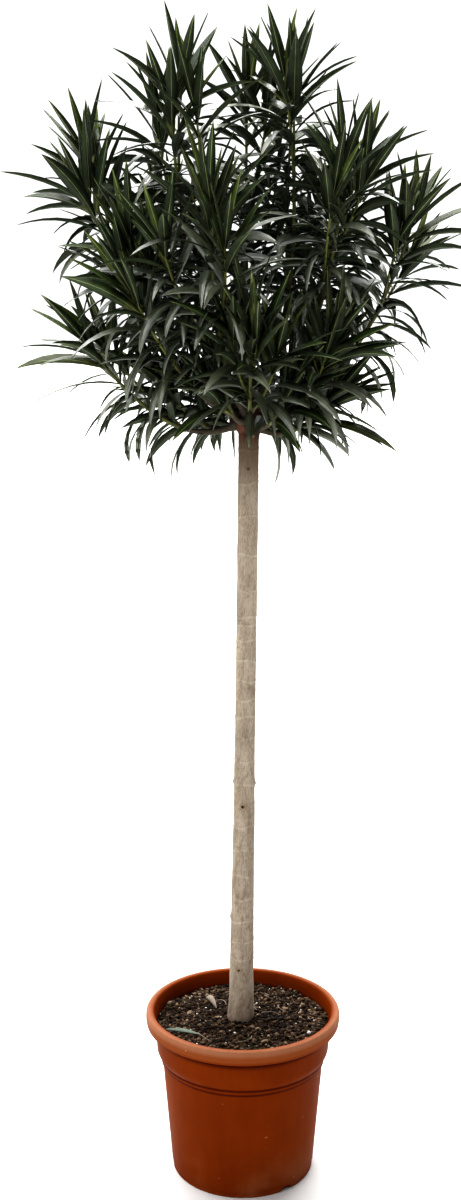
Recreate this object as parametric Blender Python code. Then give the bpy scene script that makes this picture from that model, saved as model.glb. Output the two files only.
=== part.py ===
"""Oleander grown as a small standard tree in a round plastic pot.

Metres, +Z up.  The origin is the centre of the pot's flat underside.  One straight trunk stands in the
filled pot and swells to a knuckle where the stem was once cut back.  Limbs leave that knuckle, and each
bears one mass of foliage: a stem with side shoots and whorls of three long leaves.
"""
import math
import random

import bmesh
import bpy
from mathutils import Matrix, Vector
from mathutils.bvhtree import BVHTree

CLEARANCE = 0.0003            # air between neighbouring pieces
UP = Vector((0, 0, 1))

# Pot: heights are from the underside, radii are outer ones
POT_SIDES = 36
POT_HEIGHT = 0.299
POT_WALL = 0.003
POT_FLOOR = 0.004
BASE_RADIUS = 0.1265
BASE_EDGE = 0.004
BODY_FOOT_RADIUS = 0.1292
BODY_TOP_RADIUS = 0.1449
BODY_TOP = 0.2035
STEP_TOP = 0.2255
BAND_RADIUS = 0.155
BAND_TOP = 0.262
BAND_TOP_RADIUS = 0.1575
LIP_RADIUS = 0.175
LIP_HEIGHT = 0.027
LIP_FOOT_RADIUS = 0.172
LIP_CURVE_HEIGHT = 0.011
LIP_INSIDE_RADIUS = 0.1585
LIP_POINTS = 7
STEP_RADIUS = 0.1485          # foot of the step, where the narrow body ends
STEP_FOOT = 0.2145
SHARP_ANGLE = 35
DRAIN_BEARINGS = (307, 67, 187)
DRAIN_WIDTH = 0.022
DRAIN_HEIGHT = 0.006
DRAIN_DEPTH = 0.03

# Potting soil
SOIL_EDGE = 0.272
SOIL_TOP = 0.280
SOIL_TOP_RADIUS = 0.045
SOIL_SLOPE_RADIUS = 0.11
SOIL_SLOPE_HEIGHT = 0.276
SOIL_GAP = 0.0009             # between the soil and the sloping wall

# Trunk: it leans a little to the right on its way up
TRUNK_SIDES = 24
TRUNK_FOOT = Vector((-0.0035, 0, SOIL_TOP + CLEARANCE))
TRUNK_KNEE = Vector((0.004, 0, 0.81))
HEAD = Vector((0.009, 0, 1.355))
HEAD_RADIUS = 0.028
HEAD_TOP_RADIUS = 0.010
TRUNK_RADIUS = 0.0175
TAPER_RADIUS = 0.0044         # what the taper adds at the foot
TAPER_HEIGHT = 0.34
FLARE_RADIUS = 0.0024         # what the root flare adds at the foot
FLARE_HEIGHT = 0.03
TRUNK_SHARES = (0, 0.01, 0.03, 0.08, 0.15, 0.23, 0.32, 0.42, 0.6, 0.8)
HEAD_RINGS = 10

# Limbs: each leaves the head square to it and turns towards its own bearing and rise
BOUGH_SIDES = 6
BOUGH_RINGS = 5
BOUGH_SHARE = 0.36            # where the bough ends and its foliage's stem takes over
BOUGH_FOOT_RADIUS = 0.0060
BOUGH_TIP_RADIUS = 0.0040
KNEE_SHARE = 0.42
FOOT_RISE_GAIN = 1.5
FOOT_RISE_DROP = 62
LOWEST_FOOT_RISE = -35

# Twigs
TWIG_SIDES = 3
STEM_RINGS = 6
SHOOT_RINGS = 4
STEM_RADIUS = 0.0038
SHOOT_RADIUS = 0.0028
TWIG_TIP_RADIUS = 0.0017
FIRST_SHOOT = 0.38            # share of the stem where the lowest side shoot leaves it
SHOOT_SPREAD = 0.34
GOLDEN_ANGLE = 137.5
SHOOT_LEAN = 10
SHOOT_FAN_RANGE = (0.85, 1.25)
SHOOT_LENGTH_RANGE = (0.82, 1.02)
SHOOT_OUTWARD = 0.8           # how a shoot's tip is drawn outward, along the limb and up
SHOOT_ONWARD = 0.35
SHOOT_UPWARD = 0.28
BARE_STEM = 0.40              # share of a limb without leaves
BARE_SHOOT = 0.12             # share of a side shoot without leaves

# Leaves: whorls of three, upright at the shoot's tip and arching lower down
WHORL = 3
WHORL_START = 0.004
WHORL_PITCH = 0.015
WHORL_STRETCH = 0.012
STRETCH_LENGTH = 0.05         # below the tip, where the whorls have their full spacing
LEAFY_LENGTH = 0.30
FULL_AGE = 0.095              # below the tip, where a leaf leans out and hangs the most
YOUNG_LEAF = 0.112
LEAF_GROWTH = 0.036
GROWN_DEPTH = 0.03
OLD_LEAF_LOSS = 0.030
LEAF_SIZE_RANGE = (0.85, 1.12)
TIP_ANGLE = 12
SIDE_ANGLE = 62
AGE_POWER = 0.75
ANGLE_JITTER = 9
ROLL_JITTER = 14
LIFT = 0.45
YOUNG_DROOP = 8
OLD_DROOP = 56
DROOP_RANGE = (0.5, 1.3)
DROOP_GAIN = 1.3              # how soon a leaf that leans out hangs in full
FACE_ALONG_TWIG = 0.55        # a leaf's face turns partly up its twig and partly to the sky
FACE_UPWARD = 0.45
LEAF_WIDTH = 0.22             # share of the length, broader than life as the leaves are fewer
LEAF_THICKNESS = 0.0034
LEAF_WAIST = 0.42             # share of the length where the leaf is broadest
ROOT_DEPTH = 0.004            # how far down inside the twig a leaf's root starts
LEAF_NECK = 0.012             # leaves of one mass may meet this close to their roots
LEAF_MARGIN = 0.0007          # kept clear round each leaf
CROWN_MIDDLE = Vector((0, 0, 1.62))
OUTLINE_RADIUS = 0.345        # leaves whose tips stand farther from that middle are all kept

# Foliage: name, bearing and rise of the limb, its reach, shoots, their fan and first turn (degrees)
MASSES = (
    ("top_left", 206, 77, 0.545, 4, 11, 225),
    ("top_back", 93, 82, 0.530, 3, 12, 20),
    ("top_right", -16, 84, 0.550, 3, 7, 230),
    ("shoulder_right", -29, 68, 0.450, 4, 14, 215),
    ("far_right", -4, 51, 0.430, 3, 14, 190),
    ("low_right", -42, 36, 0.225, 3, 16, 250),
    ("far_left", 180, 58, 0.500, 3, 12, 200),
    ("left", 212, 52, 0.360, 4, 16, 150),
    ("low_left", 190, 25, 0.300, 2, 15, 290),
    ("front", 252, 58, 0.405, 4, 18, 0),
    ("front_low", 270, 36, 0.260, 4, 20, 200),
    ("back_left", 135, 59, 0.430, 4, 20, 0),
    ("back_right", 48, 58, 0.420, 4, 20, 180),
    ("back_low", 92, 34, 0.270, 4, 22, 0),
    ("skirt_right", -14, 12, 0.145, 2, 14, 250),
    ("skirt_front", 304, 28, 0.120, 3, 20, 40),
    ("skirt_left", 240, 40, 0.110, 2, 18, 80),
    ("skirt_far_left", 172, 24, 0.165, 2, 20, 0),
    ("skirt_back_left", 128, 26, 0.150, 3, 22, 30),
    ("skirt_back", 50, 26, 0.150, 3, 22, 0),
)
TRUNK_FOLIAGE = "skirt"        # masses of this kind spring straight from the trunk
SEED = 100


def clear_scene():
    """Remove the objects that a new scene starts with."""
    for found in list(bpy.data.objects):
        bpy.data.objects.remove(found)


def material(name, colour, roughness):
    """Principled material with a plain colour."""
    made = bpy.data.materials.new(name)
    made.use_nodes = True
    shader = made.node_tree.nodes["Principled BSDF"]
    shader.inputs["Base Color"].default_value = (*colour, 1)
    shader.inputs["Roughness"].default_value = roughness
    shader.inputs["Metallic"].default_value = 0
    made.diffuse_color = (*colour, 1)
    return made


def add_object(name, mesh, surface):
    """Object in the scene for a mesh, with its material."""
    mesh.materials.append(surface)
    made = bpy.data.objects.new(name, mesh)
    bpy.context.scene.collection.objects.link(made)
    return made


def mesh_of(name, corners, faces):
    """Mesh of corners and faces, with its faces turned outwards."""
    shape = bmesh.new()
    verts = [shape.verts.new(corner) for corner in corners]
    for face in faces:
        shape.faces.new([verts[i] for i in face])
    bmesh.ops.recalc_face_normals(shape, faces=shape.faces)
    mesh = bpy.data.meshes.new(name)
    shape.to_mesh(mesh)
    shape.free()
    return mesh


def turned(name, profile, sides):
    """Closed solid of revolution about +Z: profile is (radius, height) pairs from axis to axis."""
    shape = bmesh.new()
    verts = [shape.verts.new((radius, 0, height)) for radius, height in profile]
    edges = [shape.edges.new(pair) for pair in zip(verts[:-1], verts[1:])]
    bmesh.ops.spin(shape, geom=verts + edges, axis=UP, cent=(0, 0, 0), steps=sides, angle=math.tau)
    bmesh.ops.remove_doubles(shape, verts=shape.verts, dist=CLEARANCE / 10)
    bmesh.ops.recalc_face_normals(shape, faces=shape.faces)
    mesh = bpy.data.meshes.new(name)
    shape.to_mesh(mesh)
    shape.free()
    mesh.shade_smooth()
    mesh.set_sharp_from_angle(angle=math.radians(SHARP_ANGLE))
    return mesh


def toward(bearing, rise):
    """Unit vector at a bearing (0 is +X, 90 is +Y) and a rise above level, in degrees."""
    level = math.cos(math.radians(rise))
    east = math.cos(math.radians(bearing)) * level
    north = math.sin(math.radians(bearing)) * level
    return Vector((east, north, math.sin(math.radians(rise))))


def turned_off(axis, angle, roll):
    """Unit vector at an angle from an axis, on the side given by roll about that axis, in degrees."""
    side = axis.cross(UP).normalized()
    other = axis.cross(side)
    around = side * math.cos(math.radians(roll)) + other * math.sin(math.radians(roll))
    return axis * math.cos(math.radians(angle)) + around * math.sin(math.radians(angle))


def point_on(path, share):
    """Point at a share of a curve that leaves foot towards knee and comes to tip from knee."""
    foot, knee, tip = path
    return foot * (1 - share) ** 2 + knee * (2 * share * (1 - share)) + tip * share ** 2


def heading_on(path, share):
    """Direction of that curve at the same share."""
    foot, knee, tip = path
    return ((knee - foot) * (1 - share) + (tip - knee) * share).normalized()


def point_on_run(path, share, first, rings):
    """Point at a share of the curve as a limb of so many rings has it, on the straight run between two."""
    pitch = (1 - first) / (rings - 1)
    below = first + pitch * math.floor((share - first) / pitch)
    return point_on(path, below).lerp(point_on(path, below + pitch), (share - below) / pitch)


def length_of(path):
    """Length of the curve, from short chords."""
    chords = 16
    points = [point_on(path, i / chords) for i in range(chords + 1)]
    return sum((b - a).length for a, b in zip(points[:-1], points[1:]))


def limb_mesh(name, rings, sides):
    """Closed limb through rings of (centre, heading, radius), each ring a regular polygon."""
    corners = []
    side = rings[0][1].orthogonal().normalized()
    for centre, heading, radius in rings:
        side = (side - heading * side.dot(heading)).normalized()
        for i in range(sides):
            spoke = Matrix.Rotation(math.tau * i / sides, 3, heading) @ side
            corners.append(centre + spoke * radius)
    faces = [list(range(sides)), list(range(len(corners) - sides, len(corners)))]
    for start in range(0, len(corners) - sides, sides):
        for i in range(sides):
            j = (i + 1) % sides
            faces.append([start + i, start + j, start + sides + j, start + sides + i])
    return mesh_of(name, corners, faces)


def taper_rings(path, start, end, count, first_radius, last_radius):
    """Rings of a limb that tapers evenly from one share of its path to another."""
    rings = []
    for i in range(count):
        part = i / (count - 1)
        share = start + (end - start) * part
        radius = first_radius + (last_radius - first_radius) * part
        rings.append((point_on(path, share), heading_on(path, share), radius))
    return rings


# ---- Pot ----

def lip_curve(count):
    """Rounded top of the folded lip, from its outer foot over the top to the inside of the wall."""
    middle = (LIP_RADIUS + LIP_INSIDE_RADIUS) / 2
    reach = (LIP_RADIUS - LIP_INSIDE_RADIUS) / 2
    shoulder = POT_HEIGHT - LIP_CURVE_HEIGHT
    points = []
    for i in range(count):
        angle = math.pi * i / (count - 1)
        points.append((middle + reach * math.cos(angle), shoulder + LIP_CURVE_HEIGHT * math.sin(angle)))
    return points


def pot_profile():
    """Outline of the wall: underside, stepped outside, folded lip, then down the inside."""
    lip_foot = POT_HEIGHT - LIP_HEIGHT
    outside = [
        (0, 0),
        (BASE_RADIUS - BASE_EDGE / 2, 0),
        (BASE_RADIUS + BASE_EDGE / 3, BASE_EDGE / 2),
        (BODY_FOOT_RADIUS, BASE_EDGE * 2),
        (BODY_TOP_RADIUS, BODY_TOP),
        (STEP_RADIUS, STEP_FOOT),
        (BAND_RADIUS, STEP_TOP),
        (BAND_TOP_RADIUS, BAND_TOP),
        (BAND_TOP_RADIUS, POT_HEIGHT - LIP_CURVE_HEIGHT),
        (LIP_RADIUS - POT_WALL, POT_HEIGHT - LIP_CURVE_HEIGHT - POT_WALL),
        (LIP_FOOT_RADIUS - POT_WALL, lip_foot),
        (LIP_FOOT_RADIUS, lip_foot),
    ]
    inside = [
        (BAND_TOP_RADIUS - POT_WALL, BAND_TOP),
        (BAND_RADIUS - POT_WALL, STEP_TOP),
        (BODY_TOP_RADIUS - POT_WALL, BODY_TOP),
        (BODY_FOOT_RADIUS - POT_WALL, POT_FLOOR),
        (0, POT_FLOOR),
    ]
    return outside + lip_curve(LIP_POINTS) + inside


def build_pot():
    """Pot with its drain notches cut through the foot of the wall."""
    terracotta = material("terracotta plastic", (0.42, 0.13, 0.065), 0.55)
    pot = add_object("pot", turned("pot", pot_profile(), POT_SIDES), terracotta)
    notches = bmesh.new()
    for bearing in DRAIN_BEARINGS:
        size = Matrix.Diagonal((DRAIN_DEPTH, DRAIN_WIDTH, DRAIN_HEIGHT * 2, 1))
        place = Matrix.Translation(toward(bearing, 0) * BASE_RADIUS)
        turn = Matrix.Rotation(math.radians(bearing), 4, "Z")
        bmesh.ops.create_cube(notches, size=1, matrix=place @ turn @ size)
    mesh = bpy.data.meshes.new("drain notches")
    notches.to_mesh(mesh)
    notches.free()
    cutter = add_object("drain_notches", mesh, terracotta)
    cutter.hide_render = True
    cutter.display_type = "WIRE"
    cut = pot.modifiers.new("drain notches", "BOOLEAN")
    cut.operation = "DIFFERENCE"
    cut.object = cutter
    return pot


# ---- Soil ----

def build_soil():
    """Potting soil that fills the pot, mounded a little round the trunk."""
    peat = material("potting soil", (0.035, 0.024, 0.018), 0.95)
    wall = POT_WALL + SOIL_GAP
    profile = [
        (0, POT_FLOOR + CLEARANCE),
        (BODY_FOOT_RADIUS - wall, POT_FLOOR + CLEARANCE),
        (BODY_TOP_RADIUS - wall, BODY_TOP),
        (BAND_RADIUS - wall, STEP_TOP),
        (BAND_TOP_RADIUS - wall, BAND_TOP),
        (BAND_TOP_RADIUS - wall, SOIL_EDGE),
        (SOIL_SLOPE_RADIUS, SOIL_SLOPE_HEIGHT),
        (SOIL_TOP_RADIUS, SOIL_TOP),
        (0, SOIL_TOP),
    ]
    return add_object("soil", turned("soil", profile, POT_SIDES), peat)


# ---- Trunk and boughs ----

def trunk_radius(height):
    """Trunk's radius at a height above the soil: even taper and root flare."""
    taper = TAPER_RADIUS * math.exp(-(height / TAPER_HEIGHT) ** 2)
    flare = FLARE_RADIUS * math.exp(-height / FLARE_HEIGHT)
    return TRUNK_RADIUS + taper + flare


def build_trunk(bark):
    """Trunk from its flat cut on the soil to the swollen head that the boughs leave."""
    path = (TRUNK_FOOT, TRUNK_KNEE, HEAD)
    rings = []
    for share in TRUNK_SHARES:
        centre = point_on(path, share)
        rings.append((centre, UP, trunk_radius(centre.z - TRUNK_FOOT.z)))
    lowest = -math.acos(trunk_radius(HEAD.z - TRUNK_FOOT.z) / HEAD_RADIUS)
    highest = math.acos(HEAD_TOP_RADIUS / HEAD_RADIUS)
    for i in range(HEAD_RINGS):
        angle = lowest + (highest - lowest) * i / (HEAD_RINGS - 1)
        rings.append((HEAD + UP * HEAD_RADIUS * math.sin(angle), UP, HEAD_RADIUS * math.cos(angle)))
    return add_object("trunk", limb_mesh("trunk", rings, TRUNK_SIDES), bark)


def limb_path(bearing, rise, reach):
    """Curve of a limb from the head's surface to its tip."""
    foot_rise = max(FOOT_RISE_GAIN * rise - FOOT_RISE_DROP, LOWEST_FOOT_RISE)
    leaving = toward(bearing, foot_rise)
    foot = HEAD + leaving * (HEAD_RADIUS + CLEARANCE)
    tip = HEAD + toward(bearing, rise) * reach
    knee = foot + leaving * ((tip - foot).length * KNEE_SHARE)
    return foot, knee, tip


def build_bough(name, path, bark):
    """Bare lower stretch of a limb."""
    rings = taper_rings(path, 0, BOUGH_SHARE, BOUGH_RINGS, BOUGH_FOOT_RADIUS, BOUGH_TIP_RADIUS)
    return add_object("bough_" + name, limb_mesh(name, rings, BOUGH_SIDES), bark)


# ---- Foliage ----

def shoot_paths(limb, first, reach, count, fan, turn, draw):
    """Side shoots of a limb: they leave it one above the other, each turned on by the golden angle."""
    paths = []
    for i in range(count - 1):
        share = FIRST_SHOOT + SHOOT_SPREAD * i / max(count - 2, 1)
        start = point_on_run(limb, share, first, STEM_RINGS)
        axis = heading_on(limb, share)
        lean = fan * draw.uniform(*SHOOT_FAN_RANGE) + SHOOT_LEAN
        away = turned_off(axis, lean, turn + i * GOLDEN_ANGLE)
        length = reach * (1 - share) * draw.uniform(*SHOOT_LENGTH_RANGE)
        onward = away * SHOOT_OUTWARD + axis * SHOOT_ONWARD + UP * SHOOT_UPWARD
        paths.append((start, start + away * (length / 2), start + onward.normalized() * length))
    return paths


def leaves_on(path, first, rings, bare, draw):
    """Leaves of one shoot, tip first: root, direction, axis of its twig, length, droop, whorl and place."""
    leaves = []
    length = length_of(path)
    spin = draw.uniform(0, 360)
    depth = WHORL_START
    whorl = 0
    while depth < min(LEAFY_LENGTH, (1 - bare) * length):
        share = 1 - depth / length
        axis = heading_on(path, share)
        root = point_on_run(path, share, first, rings)
        age = min(depth / FULL_AGE, 1)
        for place in range(WHORL):
            angle = TIP_ANGLE + SIDE_ANGLE * age ** AGE_POWER + draw.uniform(-ANGLE_JITTER, ANGLE_JITTER)
            turn = 360 / WHORL * place + 180 / WHORL * (whorl % 2)
            roll = spin + turn + draw.uniform(-ROLL_JITTER, ROLL_JITTER)
            direction = (turned_off(axis, angle, roll) + UP * (LIFT * (1 - axis.z))).normalized()
            grown = YOUNG_LEAF + LEAF_GROWTH * min(depth / GROWN_DEPTH, 1)
            size = (grown - OLD_LEAF_LOSS * max(age * 2 - 1, 0)) * draw.uniform(*LEAF_SIZE_RANGE)
            droop = YOUNG_DROOP + OLD_DROOP * age * draw.uniform(*DROOP_RANGE)
            leaves.append((root, direction, axis, size, droop, whorl, place))
        depth += WHORL_PITCH + WHORL_STRETCH * min(depth / STRETCH_LENGTH, 1)
        whorl += 1
    return leaves


def leaf_point(root, direction, size, droop, share):
    """Point and direction at a share of a leaf's midrib, which turns down evenly along its length."""
    down = (direction * direction.z - UP)
    steepness = down.length
    bend = math.radians(droop) * min(1, steepness * DROOP_GAIN) * max(share, CLEARANCE)
    down.normalize()
    forward = size * share * math.sin(bend) / bend
    sunk = size * share * (1 - math.cos(bend)) / bend
    return root + direction * forward + down * sunk, direction * math.cos(bend) + down * math.sin(bend)


def leaf_corners(leaf, start=0, margin=0):
    """Six corners of an eight-faced leaf: root, four round its waist, tip; margin swells it."""
    root, direction, axis, size, droop, whorl, place = leaf
    waist, along = leaf_point(root, direction, size, droop, LEAF_WAIST)
    tip, tip_along = leaf_point(root, direction, size, droop, 1)
    face = (axis - direction * axis.dot(direction)).normalized() * FACE_ALONG_TWIG + UP * FACE_UPWARD
    across = face.cross(along).normalized()
    upper = along.cross(across)
    half_width = size * LEAF_WIDTH / 2 + margin * 2
    half_depth = LEAF_THICKNESS / 2 + margin
    return [
        root - axis * ROOT_DEPTH + direction * start,
        waist + across * half_width,
        waist + upper * half_depth,
        waist - across * half_width,
        waist - upper * half_depth,
        tip + tip_along * margin * 4,
    ]


LEAF_FACES = [[0, 1, 2], [0, 2, 3], [0, 3, 4], [0, 4, 1], [5, 2, 1], [5, 3, 2], [5, 4, 3], [5, 1, 4]]


def is_kept(leaf):
    """The solids keep the whorl at a shoot's tip, one leaf of each whorl below it and all on the outline."""
    root, direction, axis, size, droop, whorl, place = leaf
    tip = leaf_point(root, direction, size, droop, 1)[0]
    return whorl == 0 or whorl % WHORL == place or (tip - CROWN_MIDDLE).length > OUTLINE_RADIUS


class Space:
    """What stands in the crown so far, to keep a new twig or leaf clear of it."""

    def __init__(self):
        self.solids = []

    def add(self, corners, faces, owner):
        """Add a solid that belongs to an owner."""
        centre = sum(corners, Vector()) / len(corners)
        radius = max((corner - centre).length for corner in corners)
        self.solids.append((centre, radius, BVHTree.FromPolygons(corners, faces), owner))

    def is_free(self, corners, faces, ignored):
        """Whether a solid touches nothing, apart from what belongs to an ignored owner."""
        centre = sum(corners, Vector()) / len(corners)
        radius = max((corner - centre).length for corner in corners)
        tree = BVHTree.FromPolygons(corners, faces)
        for other_centre, other_radius, other_tree, owner in self.solids:
            if owner == ignored or (other_centre - centre).length > radius + other_radius:
                continue
            if tree.overlap(other_tree):
                return False
        return True


def data_of(mesh):
    """Corners and faces of a mesh, as Space takes them."""
    return [vert.co.copy() for vert in mesh.vertices], [list(face.vertices) for face in mesh.polygons]


def join_collection(stem, pieces):
    """Fuse pieces to a stem by one Boolean union, apply it and remove the pieces."""
    collection = bpy.data.collections.new(stem.name + "_pieces")
    for mesh in pieces:
        collection.objects.link(bpy.data.objects.new(mesh.name, mesh))
    union = stem.modifiers.new("union", "BOOLEAN")
    union.operation = "UNION"
    union.operand_type = "COLLECTION"
    union.solver = "MANIFOLD"
    union.collection = collection
    bpy.context.view_layer.update()
    fused = bpy.data.meshes.new_from_object(stem.evaluated_get(bpy.context.evaluated_depsgraph_get()))
    stem.modifiers.remove(union)
    stem.data = fused
    for piece in list(collection.objects):
        bpy.data.objects.remove(piece)
    bpy.data.collections.remove(collection)


def plan_twigs(name, limb, reach, count, fan, turn, draw):
    """A mass's stem and side shoots, stem first: each with its mesh and the leaves that it could bear."""
    first = 0 if name.startswith(TRUNK_FOLIAGE) else BOUGH_SHARE + CLEARANCE / length_of(limb)
    rings = taper_rings(limb, first, 1, STEM_RINGS, STEM_RADIUS, TWIG_TIP_RADIUS)
    twigs = [(limb_mesh(name, rings, TWIG_SIDES), leaves_on(limb, first, STEM_RINGS, BARE_STEM, draw))]
    for path in shoot_paths(limb, first, reach, count, fan, turn, draw):
        rings = taper_rings(path, 0, 1, SHOOT_RINGS, SHOOT_RADIUS, TWIG_TIP_RADIUS)
        leaves = leaves_on(path, 0, SHOOT_RINGS, BARE_SHOOT, draw)
        twigs.append((limb_mesh(name, rings, TWIG_SIDES), leaves))
    return twigs


# ---- The whole plant ----

clear_scene()
build_pot()
build_soil()
bark = material("bark", (0.36, 0.31, 0.24), 0.8)
green = material("leaf green", (0.06, 0.12, 0.04), 0.45)
crown = Space()
trunk = build_trunk(bark)
crown.add(*data_of(trunk.data), "trunk")

planned = {}
for number, (name, bearing, rise, reach, count, fan, turn) in enumerate(MASSES):
    limb = limb_path(bearing, rise, reach)
    if not name.startswith(TRUNK_FOLIAGE):
        bough = build_bough(name, limb, bark)
        crown.add(*data_of(bough.data), "bough")
    draw = random.Random(SEED + number)
    planned[name] = plan_twigs(name, limb, reach, count, fan, turn, draw)
    crown.add(*data_of(planned[name][0][0]), name)

pieces = {}
leaves = []
for name, (stem, *shoots) in planned.items():
    kept = [stem]
    for shoot in shoots:
        if crown.is_free(*data_of(shoot[0]), name):
            crown.add(*data_of(shoot[0]), name)
            kept.append(shoot)
    pieces[name] = [mesh for mesh, grown in kept]
    leaves += [(name, leaf) for mesh, grown in kept for leaf in grown if is_kept(leaf)]

spaces = {name: Space() for name in pieces}
leaves.sort(key=lambda entry: entry[1][5])
for name, leaf in leaves:
    whole = leaf_corners(leaf, 0, LEAF_MARGIN)
    beyond_neck = leaf_corners(leaf, LEAF_NECK, LEAF_MARGIN)
    if crown.is_free(whole, LEAF_FACES, name) and spaces[name].is_free(beyond_neck, LEAF_FACES, None):
        pieces[name].append(mesh_of(name, leaf_corners(leaf), LEAF_FACES))
        crown.add(whole, LEAF_FACES, name)
        spaces[name].add(beyond_neck, LEAF_FACES, name)

for name, meshes in pieces.items():
    stem = add_object("foliage_" + name, meshes[0], green)
    join_collection(stem, meshes[1:])
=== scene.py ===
"""Dress of the potted oleander: pot, soil, trunk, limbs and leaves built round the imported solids.

Metres, +Z up, in the frame of the solids: the origin is the centre of the pot's flat underside.
"""
import math
import random

import bmesh
import bpy
import numpy as np
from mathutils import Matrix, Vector


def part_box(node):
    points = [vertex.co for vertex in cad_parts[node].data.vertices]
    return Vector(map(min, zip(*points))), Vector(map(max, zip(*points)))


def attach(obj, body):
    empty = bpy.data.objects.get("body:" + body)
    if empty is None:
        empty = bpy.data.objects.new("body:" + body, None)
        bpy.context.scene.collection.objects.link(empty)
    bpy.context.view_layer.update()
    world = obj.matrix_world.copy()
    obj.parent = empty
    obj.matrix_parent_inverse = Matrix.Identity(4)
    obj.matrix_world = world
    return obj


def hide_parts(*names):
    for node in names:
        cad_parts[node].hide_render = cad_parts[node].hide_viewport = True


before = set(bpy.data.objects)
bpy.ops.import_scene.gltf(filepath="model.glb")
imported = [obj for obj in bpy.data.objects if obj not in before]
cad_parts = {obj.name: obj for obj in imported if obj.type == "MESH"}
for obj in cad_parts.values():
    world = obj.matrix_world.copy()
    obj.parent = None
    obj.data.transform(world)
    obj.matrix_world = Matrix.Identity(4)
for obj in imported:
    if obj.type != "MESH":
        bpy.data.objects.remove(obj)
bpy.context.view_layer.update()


# ---- Pot ----
# A nursery pot moulded in terracotta-coloured polypropylene: a narrow body, a wider band above a step, and a
# lip rolled outwards to stiffen the mouth. It stands on a foot ring that is notched in three places to
# drain. Sun has faded its lip a little paler, a painted highlight runs along the lip's top, and painted
# shade darkens the step's creases and the band under the lip.

POT_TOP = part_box("pot")[1]
LIP_RADIUS = POT_TOP.x
POT_HEIGHT = POT_TOP.z
POT_COLUMNS = 256
POT_LONGEST_RUN = 0.006
POT_FILLET_STEPS = 6
POT_WALL = 0.003
POT_FLOOR = 0.004
BASE_RADIUS = 0.1265
BODY_FOOT_RADIUS = 0.1292
BODY_FOOT = 0.0130
BODY_TOP_RADIUS = 0.1449
BODY_TOP = 0.2035
BAND_RADIUS = 0.155
BAND_FOOT = 0.2255
BAND_TOP_RADIUS = 0.1575
BAND_TOP = 0.262
LIP_FOOT_RADIUS = 0.172
LIP_FOOT = POT_HEIGHT - 0.027
DRAIN_BEARINGS = (307, 67, 187)
DRAIN_HALF_WIDTH = 0.011
DRAIN_HEIGHT = 0.006
DRAIN_REACH = 0.1115
DRAIN_EDGE = 0.002
POT_CREASES = (BODY_TOP + 0.0006, BODY_TOP + 0.0098)  # heights of the step's two creases, darkened with painted shade
CREASE_SHADE_WIDTH = 0.0046
WOBBLE = 0.00035              # how far the moulding has drawn out of round

POT_OUTSIDE = (  # radius, height and fillet of each corner, from the middle of the underside to the lip's top
    (0, 0.0012, 0),
    (0.1120, 0.0012, 0.001),
    (0.1130, 0, 0.0005),
    (BASE_RADIUS, 0, 0.0008),
    (BASE_RADIUS + 0.0013, 0.0016, 0.0006),
    (BASE_RADIUS + 0.0011, 0.0040, 0.0006),
    (BASE_RADIUS + 0.0004, 0.0052, 0.0005),
    (BODY_FOOT_RADIUS, BODY_FOOT, 0.004),
    (BODY_TOP_RADIUS, BODY_TOP - 0.0012, 0.0009),
    (BODY_TOP_RADIUS + 0.0026, BODY_TOP + 0.0006, 0.0009),
    (BODY_TOP_RADIUS + 0.0036, BODY_TOP + 0.0075, 0.0012),
    (BODY_TOP_RADIUS + 0.0034, BODY_TOP + 0.0098, 0.0008),
    (BAND_RADIUS - 0.0020, BAND_FOOT - 0.0045, 0.003),
    (BAND_RADIUS, BAND_FOOT + 0.0010, 0.003),
    (BAND_TOP_RADIUS, BAND_TOP, 0.004),
    (BAND_TOP_RADIUS + 0.0002, POT_HEIGHT - 0.0140, 0.002),
    (LIP_RADIUS - POT_WALL - 0.0010, POT_HEIGHT - 0.0145, 0.003),
    (LIP_FOOT_RADIUS - POT_WALL, LIP_FOOT + 0.0010, 0.0008),
    (LIP_FOOT_RADIUS - 0.0015, LIP_FOOT - 0.0001, 0.0008),
    (LIP_FOOT_RADIUS + 0.0002, LIP_FOOT + 0.0014, 0.0008),
    (LIP_FOOT_RADIUS + 0.0012, LIP_FOOT + 0.0035, 0.001),
    (LIP_RADIUS, POT_HEIGHT - 0.0130, 0.006),
    (LIP_RADIUS - 0.0010, POT_HEIGHT - 0.0020, 0.006),
    (LIP_RADIUS - 0.0070, POT_HEIGHT, 0.004),
)
POT_INSIDE = (  # the same, from the lip's inner side down to the middle of the floor
    (LIP_RADIUS - 0.0145, POT_HEIGHT - 0.0010, 0.005),
    (BAND_TOP_RADIUS - 0.0006, POT_HEIGHT - 0.0130, 0.004),
    (BAND_TOP_RADIUS - POT_WALL, BAND_TOP, 0.004),
    (BAND_RADIUS - POT_WALL, BAND_FOOT, 0.004),
    (BODY_TOP_RADIUS - POT_WALL, BODY_TOP, 0.004),
    (BODY_FOOT_RADIUS - POT_WALL, POT_FLOOR, 0.002),
    (0, POT_FLOOR, 0),
)


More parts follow.
